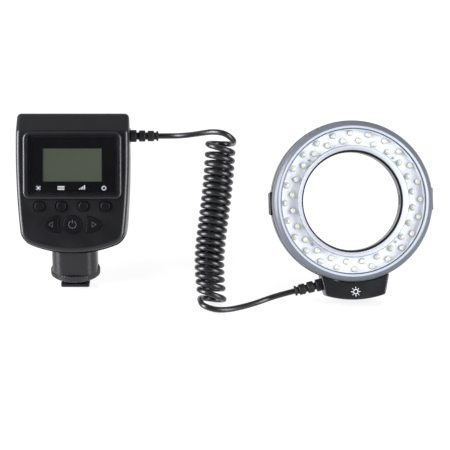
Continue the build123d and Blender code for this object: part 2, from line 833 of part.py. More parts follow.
def curl_point(turn):
    """Centre of the cord after so many turns, from the right of the coil and round its back."""
    down, right, back = curl_axes()
    start_fade = math.exp(-turn / curl_relax_turns)
    end_fade = math.exp((turn - curl_turns) / curl_relax_turns)
    radius = curl_radius_top + (curl_radius_bottom - curl_radius_top) * turn / curl_turns
    along = curl_pitch * turn + curl_loose_top * (1 - start_fade) + curl_loose_bottom * end_fade
    slope = (math.tan(math.radians(curl_tilt_top)) * start_fade
             + math.tan(math.radians(curl_tilt_bottom)) * end_fade)
    angle = 2 * math.pi * turn
    along += radius * slope * math.cos(angle)
    sway = -curl_sway * math.sin(math.pi * max(turn / curl_turns, 0) ** curl_sway_power)
    centre = Vector(*curl_start) + down * along + right * sway
    return centre + right * (radius * math.cos(angle)) + back * (radius * math.sin(angle))


def curl_direction(turn):
    step = 1e-4
    return (curl_point(turn + step) - curl_point(turn - step)).normalized()


def biarc(start, start_direction, end, end_direction):
    """Two arcs that join two points with the given directions."""
    chord = end - start
    both = start_direction + end_direction
    a = 2 * (start_direction.dot(end_direction) - 1)
    b = -2 * chord.dot(both)
    c = chord.dot(chord)
    reach = (-b - math.sqrt(b * b - 4 * a * c)) / (2 * a)
    if reach < 0:
        reach = (-b + math.sqrt(b * b - 4 * a * c)) / (2 * a)
    before = start + start_direction * reach
    after = end - end_direction * reach
    middle = (before + after) * 0.5
    middle_direction = (after - before).normalized()
    return [Edge.make_tangent_arc(start, start_direction, middle),
            Edge.make_tangent_arc(middle, middle_direction, end)]


def curl_ends():
    """The coil's two outer points, each one cord diameter past its last turn, and their directions."""
    first = curl_direction(0)
    last = curl_direction(curl_turns)
    return curl_point(0) - first * cord_diameter, first, curl_point(curl_turns) + last * cord_diameter, last


def tube(path):
    """The cord's round section swept along a path."""
    section = Plane(origin=path @ 0, z_dir=path % 0) * Circle(cord_diameter / 2)
    return sweep(section, path=path)


def make_curls():
    quarters = int(curl_turns * 4)
    start, first, end, last = curl_ends()
    edges = [Edge.make_line(start, curl_point(0))]
    for i in range(quarters):
        turn = i / 4
        following = (i + 1) / 4
        edges += biarc(curl_point(turn), curl_direction(turn), curl_point(following), curl_direction(following))
    edges.append(Edge.make_line(curl_point(curl_turns), end))
    path = Wire(edges)
    report_curl_gap()
    solid = tube(path)
    report_volume("cord_curls", solid, path.length)
    return solid


def report_curl_gap():
    """The least gap between one turn and the next ones, measured on points."""
    per_turn = 48
    count = int(curl_turns * per_turn)
    points = [curl_point(i / per_turn) for i in range(count + 1)]
    least = min((points[i] - points[j]).length for i in range(count + 1)
                for j in range(i + per_turn // 2, min(i + 2 * per_turn, count + 1)))
    lowest = min(point.Z for point in points) - cord_diameter / 2
    print("least gap between curls", round(least - cord_diameter, 2), "lowest", round(lowest, 2))


def report_volume(name, solid, length):
    section = math.pi * cord_diameter ** 2 / 4
    print(name, "length", round(length, 1), "volume over section times length",
          round(solid.volume / (section * length), 4))


def make_lead(name, points):
    """A plain stretch of cord: straight runs joined by arcs as large as the runs allow."""
    points = [Vector(*point) for point in points]
    radii = []
    for before, corner, after in zip(points, points[1:], points[2:]):
        turn = math.radians((corner - before).get_angle(after - corner))
        run = min((corner - before).length, (after - corner).length)
        radii.append(lead_bend_share * run / math.tan(turn / 2))
    path = Wire(FilletPolyline(*points, radius=radii).edges())
    solid = tube(path)
    print(name, "radii", [round(radius, 1) for radius in radii])
    report_volume(name, solid, path.length)
    return solid


def make_cord():
    """The two leads and the curls between the two strain reliefs."""
    start, first, end, last = curl_ends()
    case_tip = case_boot_place() * Pos(0, 0, boot_length() + 2 * fit)
    case_out = case_tip * Pos(0, 0, lead_straight_case)
    pod_tip = pod_boot_place() * Pos(0, 0, boot_length() + 2 * fit)
    pod_out = pod_tip * Pos(0, 0, lead_straight_pod)
    above = start - first * lead_straight_coil
    below = end + last * lead_straight_coil_bottom
    top = [case_tip.position, case_out.position] + lead_top_route + [above, start]
    bottom = [end, below] + lead_bottom_route + [pod_out.position, pod_tip.position]
    return {"cord_lead_top": make_lead("cord_lead_top", top), "cord_curls": make_curls(),
            "cord_lead_bottom": make_lead("cord_lead_bottom", bottom)}


# Ring lamp
def make_clear_cover():
    inner_skirt = cover_inner_radius + cover_wall
    return turned(
        (cover_inner_radius, cover_inner_skirt_depth), (cover_inner_radius, cover_inner_slope),
        (cover_face_inner, 0), (cover_face_outer, 0), (cover_shoulder_radius, cover_shoulder_depth),
        (cover_radius, cover_outer_slope), (cover_radius, cover_skirt_depth),
        (cover_radius - cover_wall, cover_skirt_depth), (cover_radius - cover_wall, cover_outer_slope + slip),
        (cover_shoulder_radius - cover_wall, cover_shoulder_depth + cover_wall / 2),
        (cover_face_outer - cover_wall / 2, cover_wall), (cover_face_inner + cover_wall / 2, cover_wall),
        (inner_skirt, cover_inner_slope + cover_wall / 2), (inner_skirt, cover_inner_skirt_depth))


def side_box(side, near, far, half, front, back):
    """A box on the left or right of the ring, from x near to x far."""
    edges = sorted((side * near, side * far))
    return block((edges[0], front, -half), (edges[1], back, half))


def make_ring_housing():
    outer_inside = housing_radius - housing_wall
    floor_back = housing_floor_depth + housing_floor_thick
    collar = bore_radius + housing_wall + fit
    housing = turned(
        (bore_radius, housing_collar_front), (cover_inner_radius + cover_wall, housing_collar_front),
        (cover_inner_radius + cover_wall, housing_floor_depth),
        (housing_rim_radius - cover_wall, housing_floor_depth), (housing_rim_radius - cover_wall, housing_rim_depth),
        (housing_rim_radius, housing_rim_depth), (housing_rim_radius, housing_floor_depth),
        (housing_radius, housing_floor_depth), (housing_radius, housing_back_depth),
        (outer_inside, housing_back_depth), (outer_inside, floor_back), (collar, floor_back),
        (collar, housing_back_depth), (bore_radius, housing_back_depth))
    for x, z in spread(ring_screw_count, ring_screw_circle, first=90):
        housing += peg(x, z, ring_screw_post_radius, floor_back - slip, housing_back_depth)
        housing -= peg(x, z, ring_screw_radius + fit, housing_back_depth - ring_screw_bite, housing_back_depth)
    for side, claw_front in ((-1, latch_front_depths[1]), (1, latch_front_depths[0])):
        housing -= side_box(side, outer_inside - housing_wall, housing_radius + overrun, button_half + slip,
                            button_front_depth - slip, button_back_depth + slip)
        housing -= side_box(side, bore_radius - slip, collar + slip, claw_half + 2 * slip,
                            claw_front - slip, claw_front + latch_thick + slip)
    post_back = latch_front_depths[1] - 3 * slip
    housing += side_box(1, spring_post_x - spring_post_thick, spring_post_x, spring_post_half,
                        floor_back - slip, post_back)
    lug = block((-pod_lug_half, pod_lug_front_depth, -housing_radius - pod_lug_drop),
                (pod_lug_half, pod_lug_back_depth, -housing_radius + housing_wall / 2))
    return housing + lug


def make_lamp():
    """Circuit board, diodes, white plate and the plate's screws."""
    board_front = housing_floor_depth - board_thick
    board = turned((lamp_board_inner, board_front), (lamp_board_outer, board_front),
                   (lamp_board_outer, housing_floor_depth), (lamp_board_inner, housing_floor_depth))
    plate_back = reflector_depth + reflector_thick
    plate_inner = lamp_board_inner + slip
    plate = turned(
        (plate_inner, reflector_inner_lip_front), (plate_inner + reflector_lip, reflector_inner_lip_front),
        (plate_inner + reflector_lip, reflector_depth), (reflector_outer - reflector_lip, reflector_depth),
        (reflector_outer - reflector_lip, reflector_outer_lip_front), (reflector_outer, reflector_outer_lip_front),
        (reflector_outer, plate_back), (plate_inner, plate_back))
    holes = []
    leds = []
    step = 360 / led_circle_count
    for row, circle in enumerate(led_circle_radii):
        for x, z in spread(led_circle_count, circle, first=row * step / 2):
            holes.append(peg(x, z, led_radius + slip, reflector_depth - overrun / 2, plate_back + slip))
            dome = Pos(x, led_shoulder_depth, z) * Sphere(led_radius)
            stem = peg(x, z, led_radius, led_shoulder_depth, board_front)
            leds.append(stem + dome)
    plate -= holes
    screws = []
    for x, z in spread(plate_screw_count, plate_screw_circle, first=45):
        plate += peg(x, z, reflector_spacer_radius, plate_back - slip, board_front - fit)
        plate -= peg(x, z, plate_screw_radius + slip, reflector_depth - slip, housing_floor_depth)
        board -= peg(x, z, plate_screw_radius + slip, reflector_depth, housing_floor_depth + slip)
        shank = peg(x, z, plate_screw_radius, reflector_depth, housing_floor_depth - slip)
        head = peg(x, z, plate_screw_head_radius, reflector_depth - plate_screw_head_thick, reflector_depth)
        screws.append(shank + head)
    return {"led_board": board, "leds": Part() + leds, "reflector_plate": plate,
            "plate_screws": Part() + screws}


def make_rear_plate():
    front = housing_back_depth + fit
    back = front + rear_plate_thick
    plate = turned((bore_radius, front), (housing_radius, front), (housing_radius, back), (bore_radius, back))
    plate += side_box(-1, spring_post_x - spring_post_thick, spring_post_x, spring_post_half,
                      latch_front_depths[0] + latch_thick + 3 * slip, front + slip)
    screws = []
    for x, z in spread(ring_screw_count, ring_screw_circle, first=90):
        plate -= peg(x, z, ring_screw_radius + slip, front - slip, back + slip)
        shank = peg(x, z, ring_screw_radius, housing_back_depth - ring_screw_bite + slip, back)
        head = peg(x, z, ring_screw_head_radius, back, back + ring_screw_head_thick)
        screws.append(shank + head)
    return {"rear_plate": plate, "ring_screws": Part() + screws}


def make_latches():
    """Each button is pressed on a sliding ring whose claw sits on the other side of the bore."""
    parts = {}
    middles = [front + latch_thick / 2 for front in latch_front_depths]
    for side, name, layer in ((-1, "left", 0), (1, "right", 1)):
        front = latch_front_depths[layer]
        back = front + latch_thick
        ring = turned((latch_inner, front), (latch_outer, front), (latch_outer, back), (latch_inner, back))
        ring += side_box(side, (latch_inner + latch_outer) / 2, button_inner_x - fit, latch_neck_half, front, back)
        claw = side_box(-side, bore_radius, (latch_inner + latch_outer) / 2, claw_half, front, back)
        ring += claw - turned((0, 0), (claw_radius, 0), (claw_radius, back + overrun), (0, back + overrun))
        cap = side_box(side, button_inner_x, button_outer_x, button_half, button_front_depth, button_back_depth)
        outer = cap.faces().sort_by(Axis.X)[-1 if side > 0 else 0]
        cap = fillet(outer.edges(), button_round)
        pocket_middle = Pos(side * button_inner_x, middles[1 - layer], 0) * Rotation(0, 90, 0)
        cap -= pocket_middle * Cylinder(spring_radius + slip, 2 * spring_pocket_depth)
        length = button_inner_x + spring_pocket_depth - spring_post_x - 2 * fit
        spring = Cylinder(spring_radius, length) - Cylinder(spring_radius - spring_wall, length + overrun)
        spring_middle = side * (spring_post_x + fit + length / 2)
        parts["latch_ring_" + name] = ring
        parts["release_button_" + name] = cap
        parts["latch_spring_" + name] = Pos(spring_middle, middles[1 - layer], 0) * Rotation(0, 90, 0) * spring
    return parts


# Pod
def pod_outline(inset=0):
    """The pod as seen from the front, drawn in by inset all round."""
    top_radius = housing_radius + stem_clearance + inset
    low_radius = pod_radius - inset
    top_half = pod_top_half - inset
    low_half = pod_low_half - inset
    top_z = -math.sqrt(top_radius ** 2 - top_half ** 2)
    low_z = -math.sqrt(low_radius ** 2 - low_half ** 2)
    edges = [ThreePointArc((-top_half, top_z), (0, -top_radius), (top_half, top_z)),
             Line((top_half, top_z), (low_half, low_z)),
             ThreePointArc((low_half, low_z), (0, -low_radius), (-low_half, low_z)),
             Line((-low_half, low_z), (-top_half, top_z))]
    outline = make_face(Curve() + edges)
    corner = pod_corner - inset
    return rounded(outline, [((-low_half, low_z), corner), ((low_half, low_z), corner)])


def make_pod():
    front = slab(pod_outline(), pod_front_depth, pod_parting_depth)
    front = fillet(pod_edges(front, pod_front_depth), pod_back_round)
    front -= slab(pod_outline(pod_wall), pod_front_depth + pod_wall, pod_parting_depth)
    rear = slab(pod_outline(), pod_parting_depth, pod_back_depth)
    rear = fillet(pod_edges(rear, pod_back_depth), pod_back_round)
    rear -= slab(pod_outline(pod_wall), pod_parting_depth, pod_back_depth - pod_wall)
    screws = []
    head_front = pod_back_depth - pod_screw_head_sink
    bite = pod_parting_depth - pod_screw_bite
    for x, z in pod_screw_places:
        front += peg(x, z, pod_screw_post_radius, pod_front_depth + pod_wall / 2, pod_parting_depth)
        front -= peg(x, z, pod_screw_radius + fit, bite, pod_parting_depth)
        rear += peg(x, z, pod_screw_post_radius, pod_parting_depth, pod_back_depth - pod_wall / 2)
        rear -= peg(x, z, pod_screw_radius + slip, pod_parting_depth, pod_back_depth)
        rear -= peg(x, z, pod_screw_head_radius + slip, head_front, pod_back_depth)
        shank = peg(x, z, pod_screw_radius, bite + slip, head_front)
        screws.append(shank + peg(x, z, pod_screw_head_radius, head_front, pod_back_depth - slip))
    lug_space = block((-pod_lug_half - slip, pod_parting_depth, -housing_radius - pod_lug_drop - slip),
                      (pod_lug_half + slip, pod_lug_back_depth + slip, -housing_radius + overrun))
    rear -= lug_space
    hole_top = boot_wall_radius + slip
    boot_hole = ring_place.inverse() * pod_boot_place() * pillar(hole_top, -pod_wall - boot_flange_thick, overrun)
    middle_z = (driver_low_z + driver_top_z) / 2
    for x in (driver_left, driver_right):
        inward = driver_post_radius if x < 0 else -driver_post_radius
        front += peg(x + inward, middle_z, driver_post_radius, pod_front_depth + pod_wall / 2, driver_front_depth)
    board = block((driver_left, driver_front_depth, driver_low_z),
                  (driver_right, driver_front_depth + driver_thick, driver_top_z))
    return {"pod_front": front - boot_hole, "pod_rear": rear - boot_hole, "pod_screws": Part() + screws,
            "driver_board": board}


def pod_edges(solid, depth):
    """The outer edges at one end of the pod, without the one under the ring."""
    face = solid.faces().sort_by(Axis.Y)[0 if depth < pod_parting_depth else -1]
    return face.edges().filter_by(
        lambda edge: (edge @ 0.5).Z < -housing_radius - slip or abs((edge @ 0.5).X) > pod_low_half)


def make_all():
    outline = case_outline()
    profile = case_profile()
    body = rear_body(outline, profile)
    case_parts = {"front_cover": make_front_cover(outline, profile), "case_screws": make_case_screws()}
    case_parts.update(make_window_parts())
    case_parts.update(make_boards())
    case_parts.update(make_keys())
    ring_parts = {"clear_cover": make_clear_cover(), "ring_housing": make_ring_housing()}
    for group in (make_lamp(), make_rear_plate(), make_latches(), make_pod()):
        ring_parts.update(group)
    upright = {"rear_cover": make_rear_cover(body), "battery_door": make_battery_door(body),
               "pedestal": make_pedestal(), "lock_wheel": make_lock_wheel()}
    for group in (make_battery_parts(), make_pedestal_fixings(), make_foot_parts(), make_cord()):
        upright.update(group)
    upright["controller_boot"] = case_boot_place() * make_boot(case_collar_length)
    pod_room = slab(pod_outline(pod_wall + fit), pod_front_depth + pod_wall + fit, pod_back_depth - pod_wall - fit)
    pod_room = pod_boot_place().inverse() * ring_place * pod_room
    outside = pillar(case_collar_radius, -pod_wall - fit, 2 * boot_length())
    upright["ring_boot"] = pod_boot_place() * (make_boot(pod_wall) & (pod_room + outside))
    upright["cord_clip_case"] = case_boot_place() * make_clip(case_collar_length)
    upright["cord_clip_pod"] = pod_boot_place() * (make_clip(pod_wall) & pod_room)
    for name, piece in case_parts.items():
        upright[name] = case_place * piece
    for name, piece in ring_parts.items():
        upright[name] = ring_place * piece
    return upright


os.makedirs("parts", exist_ok=True)
for name, piece in make_all().items():
    export_step(piece, "parts/" + name + ".step")
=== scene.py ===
"""A macro ring flash: hot-shoe controller, curly cord and ring lamp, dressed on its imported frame."""

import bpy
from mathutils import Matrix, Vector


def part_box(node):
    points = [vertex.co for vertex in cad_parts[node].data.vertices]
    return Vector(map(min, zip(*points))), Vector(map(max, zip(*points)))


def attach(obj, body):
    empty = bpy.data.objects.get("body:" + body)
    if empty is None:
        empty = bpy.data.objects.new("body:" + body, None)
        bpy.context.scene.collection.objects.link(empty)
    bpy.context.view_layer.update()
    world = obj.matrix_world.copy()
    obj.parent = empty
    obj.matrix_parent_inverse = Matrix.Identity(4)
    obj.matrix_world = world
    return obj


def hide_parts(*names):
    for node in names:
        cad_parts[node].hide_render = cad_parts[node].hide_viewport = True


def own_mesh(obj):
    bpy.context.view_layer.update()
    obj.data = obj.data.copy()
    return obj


bl_info = {
    "name": "Macro ring flash",
    "version": (1, 0, 0),
    "blender": (4, 5, 0),
    "location": "3D View > Sidebar > Ring Flash",
    "description": "Builds the looks of a macro ring flash on its packed frame",
    "category": "Object",
}

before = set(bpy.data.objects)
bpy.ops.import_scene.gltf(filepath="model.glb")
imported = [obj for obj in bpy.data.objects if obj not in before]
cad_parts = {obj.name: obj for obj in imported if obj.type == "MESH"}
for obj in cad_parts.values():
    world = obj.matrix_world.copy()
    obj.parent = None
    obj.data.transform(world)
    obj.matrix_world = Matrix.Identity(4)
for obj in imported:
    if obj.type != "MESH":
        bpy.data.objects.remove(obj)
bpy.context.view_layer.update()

import math

import bmesh
import bpy
from mathutils import Matrix, Vector

mm = 0.001

# Places of the two leaning housings, as in the part's source
case_place = Matrix.Translation((0, -24.5 * mm, 31.6 * mm)) @ Matrix.Rotation(math.radians(-20), 4, "X")
ring_turn = Matrix.Rotation(math.radians(4.5), 4, "Z") @ Matrix.Rotation(math.radians(-23), 4, "X")
ring_place = Matrix.Translation((181.6 * mm, -21.2 * mm, 66.36 * mm)) @ ring_turn
# Node trees are drawn flat, with +Z towards the viewer; this stands them up in a housing's frame
upright = Matrix.Rotation(math.radians(90), 4, "X")


def linear(code):
    """A colour written as six hexadecimal digits, as linear light."""
    shares = [int(code[i:i + 2], 16) / 255 for i in (0, 2, 4)]
    return tuple(c / 12.92 if c <= 0.04045 else ((c + 0.055) / 1.055) ** 2.4 for c in shares)


def add(tree, kind, inputs=None, **settings):
    """Adds a node with its settings; an input takes a value or another node's socket."""
    node = tree.nodes.new(kind)
    for key, value in settings.items():
        setattr(node, key, value)
    for key, value in (inputs or {}).items():
        if isinstance(value, bpy.types.NodeSocket):
            tree.links.new(value, node.inputs[key])
        else:
            node.inputs[key].default_value = value
    return node


# Materials

def start_material(name):
    """A material with its shader and output; returns the material, its tree and the shader."""
    material = bpy.data.materials.new(name)
    material.use_nodes = True
    tree = material.node_tree
    tree.nodes.clear()
    shader = add(tree, "ShaderNodeBsdfPrincipled")
    add(tree, "ShaderNodeOutputMaterial", {"Surface": shader.outputs["BSDF"]})
    return material, tree, shader


def per_metre(width):
    """Texture scale that makes a pattern's features so many millimetres wide."""
    return 1 / (width * mm)


def mottled(tree, shader, place, colour, spread, width):
    """Slight cloudy variation of a colour, in patches of a width in millimetres."""
    noise = add(tree, "ShaderNodeTexNoise", {"Vector": place, "Scale": per_metre(width), "Detail": 3.0})
    ramp = add(tree, "ShaderNodeValToRGB", {"Fac": noise.outputs["Fac"]})
    ramp.color_ramp.elements[0].position = 0.35
    ramp.color_ramp.elements[1].position = 0.68
    ramp.color_ramp.elements[0].color = tuple(c * (1 - spread) for c in colour) + (1,)
    ramp.color_ramp.elements[1].color = tuple(c * (1 + spread) for c in colour) + (1,)
    tree.links.new(ramp.outputs["Color"], shader.inputs["Base Color"])


def uneven_gloss(tree, shader, place, low, high, width):
    """Roughness that wanders between two values, in patches as wide as a fingertip wears."""
    noise = add(tree, "ShaderNodeTexNoise", {"Vector": place, "Scale": per_metre(width), "Detail": 2.0})
    span = add(tree, "ShaderNodeMapRange", {"Value": noise.outputs["Fac"], "From Min": 0.3, "From Max": 0.7,
                                            "To Min": low, "To Max": high})
    tree.links.new(span.outputs["Result"], shader.inputs["Roughness"])


def grain(tree, shader, place, width, strength, depth):
    """Fine raised grain of a moulded or cast surface."""
    noise = add(tree, "ShaderNodeTexNoise", {"Vector": place, "Scale": per_metre(width), "Detail": 2.0})
    bump = add(tree, "ShaderNodeBump", {"Height": noise.outputs["Fac"], "Strength": strength,
                                        "Distance": depth})
    tree.links.new(bump.outputs["Normal"], shader.inputs["Normal"])


def moulded_plastic(name, colour, low, high, grain_strength=0.25, grain_width=0.3125, sheen=0.3):
    """Satin moulded plastic with a fine spark-eroded grain and softly uneven gloss."""
    # A real mould's grain is under 0.1 mm wide, too fine to show, so it is drawn at least three times as wide
    material, tree, shader = start_material(name)
    place = add(tree, "ShaderNodeTexCoord").outputs["Object"]
    mottled(tree, shader, place, colour, spread=0.12, width=11.1)
    uneven_gloss(tree, shader, place, low, high, width=16.7)
    grain(tree, shader, place, grain_width, grain_strength, depth=0.05 * mm)
    shader.inputs["Specular IOR Level"].default_value = sheen
    return material


def worn_metal(name, colour, metallic, low, high):
    """Metal with fine tool marks and slightly uneven gloss."""
    material, tree, shader = start_material(name)
    place = add(tree, "ShaderNodeTexCoord").outputs["Object"]
    mottled(tree, shader, place, colour, spread=0.15, width=2.5)
    uneven_gloss(tree, shader, place, low, high, width=6.7)
    # Tool marks 5 mm long and a quarter to half a millimetre apart, coarser than real ones so that they show
    marks = (per_metre(5.0), per_metre(0.4), per_metre(0.25))
    stretched = add(tree, "ShaderNodeMapping", {"Vector": place, "Scale": marks})
    noise = add(tree, "ShaderNodeTexNoise", {"Vector": stretched.outputs["Vector"], "Scale": 1.0})
    bump = add(tree, "ShaderNodeBump", {"Height": noise.outputs["Fac"], "Strength": 0.12,
                                          "Distance": 0.04 * mm})
    tree.links.new(bump.outputs["Normal"], shader.inputs["Normal"])
    shader.inputs["Metallic"].default_value = metallic
    return material


def clear_acrylic(name, tint, alpha, low, high):
    """Clear moulded acrylic: mostly seen through, with a gloss that shows its faces."""
    material, tree, shader = start_material(name)
    place = add(tree, "ShaderNodeTexCoord").outputs["Object"]
    mottled(tree, shader, place, tint, spread=0.04, width=25.0)
    uneven_gloss(tree, shader, place, low, high, width=22.2)
    shader.inputs["Alpha"].default_value = alpha
    shader.inputs["IOR"].default_value = 1.49
    return material


def lens_resin(name, rim, core):
    """Milky lens over a yellow phosphor: the core shows warm and fades towards the rim."""
    material, tree, shader = start_material(name)
    place = add(tree, "ShaderNodeAttribute", attribute_name="lens_place")
    flat = add(tree, "ShaderNodeVectorMath", {0: place.outputs["Vector"], 1: (1.0, 1.0, 0.0)},
               operation="MULTIPLY")
    away = add(tree, "ShaderNodeVectorMath", {0: flat.outputs["Vector"]}, operation="LENGTH")
    share = add(tree, "ShaderNodeMapRange", {"Value": away.outputs["Value"], "From Min": 0.4 * mm,
                                             "From Max": 1.7 * mm})
    ramp = add(tree, "ShaderNodeValToRGB", {"Fac": share.outputs["Result"]})
    ramp.color_ramp.elements[0].color = core + (1,)
    ramp.color_ramp.elements[1].color = rim + (1,)
    tree.links.new(ramp.outputs["Color"], shader.inputs["Base Color"])
    shader.inputs["Roughness"].default_value = 0.12
    shader.inputs["Coat Weight"].default_value = 0.4
    return material


def display_glass(name, light, dark):
    """Grey-green unlit display: cloudy, a little paler at one side, under a satin polariser."""
    material, tree, shader = start_material(name)
    place = add(tree, "ShaderNodeTexCoord").outputs["Object"]
    split = add(tree, "ShaderNodeSeparateXYZ", {"Vector": place})
    half_width = 20 * mm
    along = add(tree, "ShaderNodeMapRange", {"Value": split.outputs["X"], "From Min": -half_width,
                                             "From Max": half_width})
    cloud = add(tree, "ShaderNodeTexNoise", {"Vector": place, "Scale": per_metre(18.2), "Detail": 2.0})
    mixed = add(tree, "ShaderNodeMath", {0: cloud.outputs["Fac"], 1: along.outputs["Result"]},
                operation="ADD")
    half = add(tree, "ShaderNodeMath", {0: mixed.outputs["Value"], 1: 0.5}, operation="MULTIPLY")
    ramp = add(tree, "ShaderNodeValToRGB", {"Fac": half.outputs["Value"]})
    ramp.color_ramp.elements[0].color = dark + (1,)
    ramp.color_ramp.elements[1].color = light + (1,)
    tree.links.new(ramp.outputs["Color"], shader.inputs["Base Color"])
    shader.inputs["Roughness"].default_value = 0.45
    return material


def circuit_lacquer(name, colour):
    """Green solder lacquer with faint copper tracks under it."""
    material, tree, shader = start_material(name)
    place = add(tree, "ShaderNodeTexCoord").outputs["Object"]
    # Tracks about 3 mm apart
    cells = add(tree, "ShaderNodeTexVoronoi", {"Vector": place, "Scale": per_metre(3.125)},
                distance="MANHATTAN")
    ramp = add(tree, "ShaderNodeValToRGB", {"Fac": cells.outputs["Distance"]})
    ramp.color_ramp.elements[0].position = 0.2
    ramp.color_ramp.elements[1].position = 0.3
    ramp.color_ramp.elements[0].color = tuple(c * 1.8 for c in colour) + (1,)
    ramp.color_ramp.elements[1].color = colour + (1,)
    tree.links.new(ramp.outputs["Color"], shader.inputs["Base Color"])
    shader.inputs["Roughness"].default_value = 0.3
    return material


# Settings

def colour_setting(name, code, description):
    return bpy.props.FloatVectorProperty(name=name, description=description, subtype="COLOR", size=3,
                                         min=0, max=1, default=linear(code))


def length_setting(name, value, description):
    return bpy.props.FloatProperty(name=name, description=description, default=value * mm, unit="LENGTH",
                                   min=0, precision=5)


class CaseSettings(bpy.types.PropertyGroup):
    plastic: colour_setting("Case plastic", "0D0D0F", "Satin black of both housings")
    keys: colour_setting("Keys", "0B0B0C", "Rubber of the seven keys")
    marks: colour_setting("Window marks", "C9CACC", "Light grey print under the display")
    symbols: colour_setting("Key symbols", "3E3E43", "Raised symbols on the three lower keys")
    display_light: colour_setting("Display, pale side", "3A4031", "Paler grey-green of the unlit display")
    display_dark: colour_setting("Display, dark side", "33392B", "Darker grey-green of the unlit display")
    battery: colour_setting("Cell sleeves", "6C7078", "Sleeves of the four cells")
    foot: colour_setting("Foot", "2A2B30", "Black anodised foot and clamp plate")
    symbol_height: length_setting("Symbol height", 0.12, "How far the key symbols stand up")


class CordSettings(bpy.types.PropertyGroup):
    rubber: colour_setting("Cord rubber", "101012", "Satin black of the cord and its strain reliefs")
    diameter: length_setting("Cord diameter", 3.7, "Outer diameter of the cord")
    radius_top: length_setting("Upper curl radius", 8.3, "Radius of the first curls, at the cord's middle")
    radius_bottom: length_setting("Lower curl radius", 8.0, "Radius of the last curls, at the cord's middle")
    pitch: length_setting("Curl pitch", 4.47, "Advance of one curl")
    turns: bpy.props.FloatProperty(name="Curls", description="Number of turns", default=21.5, min=1, max=80)
    steps: bpy.props.IntProperty(name="Points per curl", description="Points of the line on each turn",
                                 default=20, min=12, max=40)


class LampSettings(bpy.types.PropertyGroup):
    count: bpy.props.IntProperty(name="Diodes per circle", description="Diodes in each of the two circles",
                                 default=24, min=3, max=60)
    outer: length_setting("Outer circle", 44.0, "Radius of the outer circle of diodes")
    inner: length_setting("Inner circle", 39.3, "Radius of the inner circle of diodes")
    lens: length_setting("Lens radius", 1.95, "Radius of one diode's lens")
    lens_rim: colour_setting("Lens rim", "BABEB4", "Milky edge of a diode's lens")
    lens_core: colour_setting("Lens core", "C4C094", "Warm phosphor at a lens's middle")
    plate: colour_setting("Plate", "D6D9DD", "White plate round the diodes")
    cover: colour_setting("Clear cover", "B2B6BE", "Tint of the clear cover")
    # Painted light and shade on the clear cover: the outer rim's grey is painted shade, the inner lip's pale
    # tone is painted light, the pale band is a painted highlight and the dark edge lines are painted shade
    rim: colour_setting("Outer rim", "5D6269", "Outer rim of the cover, where the wall is seen edge on")
    lip: colour_setting("Inner lip", "B4B8BE", "Inner lip of the cover, lit through from the plate")
    band: colour_setting("Pale band", "A9AFB8", "Pale band where the cover's face turns into its rim")
    line: colour_setting("Edge line", "4C535E", "Dark lines where the plate's own lips show through")
    cover_alpha: bpy.props.FloatProperty(name="Cover haze", description="How much of the cover's tint shows",
                                         default=0.1, min=0, max=1, subtype="FACTOR")


class StageSettings(bpy.types.PropertyGroup):
    floor: colour_setting("Floor", "707072", "Plain pale floor")
    glow: bpy.props.FloatProperty(name="Floor glow", description="Light that comes up through the floor",
                                  default=0.81, min=0, max=8)
    pitch: bpy.props.FloatProperty(name="Camera pitch", description="How far the camera looks down",
                                   default=math.radians(23), subtype="ANGLE")
    distance: length_setting("Camera distance", 1500.0, "From the camera to the point it looks at")
    lens: bpy.props.FloatProperty(name="Focal length", description="In millimetres, on a sensor 36 mm wide",
                                  default=184.0, min=20, max=400)
    left_power: bpy.props.FloatProperty(name="Left light", description="Power of the light at the left",
                                        default=42, min=0, unit="POWER")
    right_power: bpy.props.FloatProperty(name="Right light", description="Power of the light at the right",
                                         default=27, min=0, unit="POWER")
    top_power: bpy.props.FloatProperty(name="Top light", description="Power of the light overhead",
                                       default=0.5, min=0, unit="POWER")
    backdrop: bpy.props.FloatProperty(name="Backdrop", description="Brightness behind the object",
                                      default=0.65, min=0, max=5)
    room: bpy.props.FloatProperty(name="Room", description="Brightness of the room behind the camera",
                                  default=0.06, min=0, max=5)


# Mesh helpers

def new_piece(name, mesh, place=None):
    """A linked object at the origin, with its place in its mesh."""
    if place is not None:
        mesh.transform(place)
    piece = bpy.data.objects.new(name, mesh)
    bpy.context.scene.collection.objects.link(piece)
    return piece


def turned_mesh(name, profile, steps=160, sharp=35):
    """A closed ring turned round the depth axis from points of radius and depth in millimetres."""
    shape = bmesh.new()
    loops = []
    for i in range(steps):
        angle = 2 * math.pi * i / steps
        turn = (math.cos(angle), math.sin(angle))
        loops.append([shape.verts.new((r * turn[0] * mm, y * mm, r * turn[1] * mm)) for r, y in profile])
    for i, loop in enumerate(loops):
        following = loops[(i + 1) % steps]
        for j in range(len(profile)):
            k = (j + 1) % len(profile)
            shape.faces.new((loop[j], loop[k], following[k], following[j]))
    bmesh.ops.recalc_face_normals(shape, faces=shape.faces)
    return finished_mesh(name, shape, sharp)


def finished_mesh(name, shape, sharp=35):
    """Turns a bmesh into a mesh that is smooth except at edges sharper than an angle."""
    mesh = bpy.data.meshes.new(name)
    for face in shape.faces:
        face.smooth = True
    for edge in shape.edges:
        if len(edge.link_faces) == 2 and edge.calc_face_angle(0) > math.radians(sharp):
            edge.smooth = False
    shape.to_mesh(mesh)
    shape.free()
    return mesh


def plate_mesh(name, outlines, front, back):
    """Thin plates with the given outlines, in millimetres as seen from the front, between two depths."""
    shape = bmesh.new()
    for outline in outlines:
        near = [shape.verts.new((x * mm, front * mm, z * mm)) for x, z in outline]
        far = [shape.verts.new((x * mm, back * mm, z * mm)) for x, z in outline]
        shape.faces.new(near)
        shape.faces.new(far[::-1])
        for i in range(len(near)):
            j = (i + 1) % len(near)
            shape.faces.new((near[i], far[i], far[j], near[j]))
    bmesh.ops.recalc_face_normals(shape, faces=shape.faces)
    return finished_mesh(name, shape)


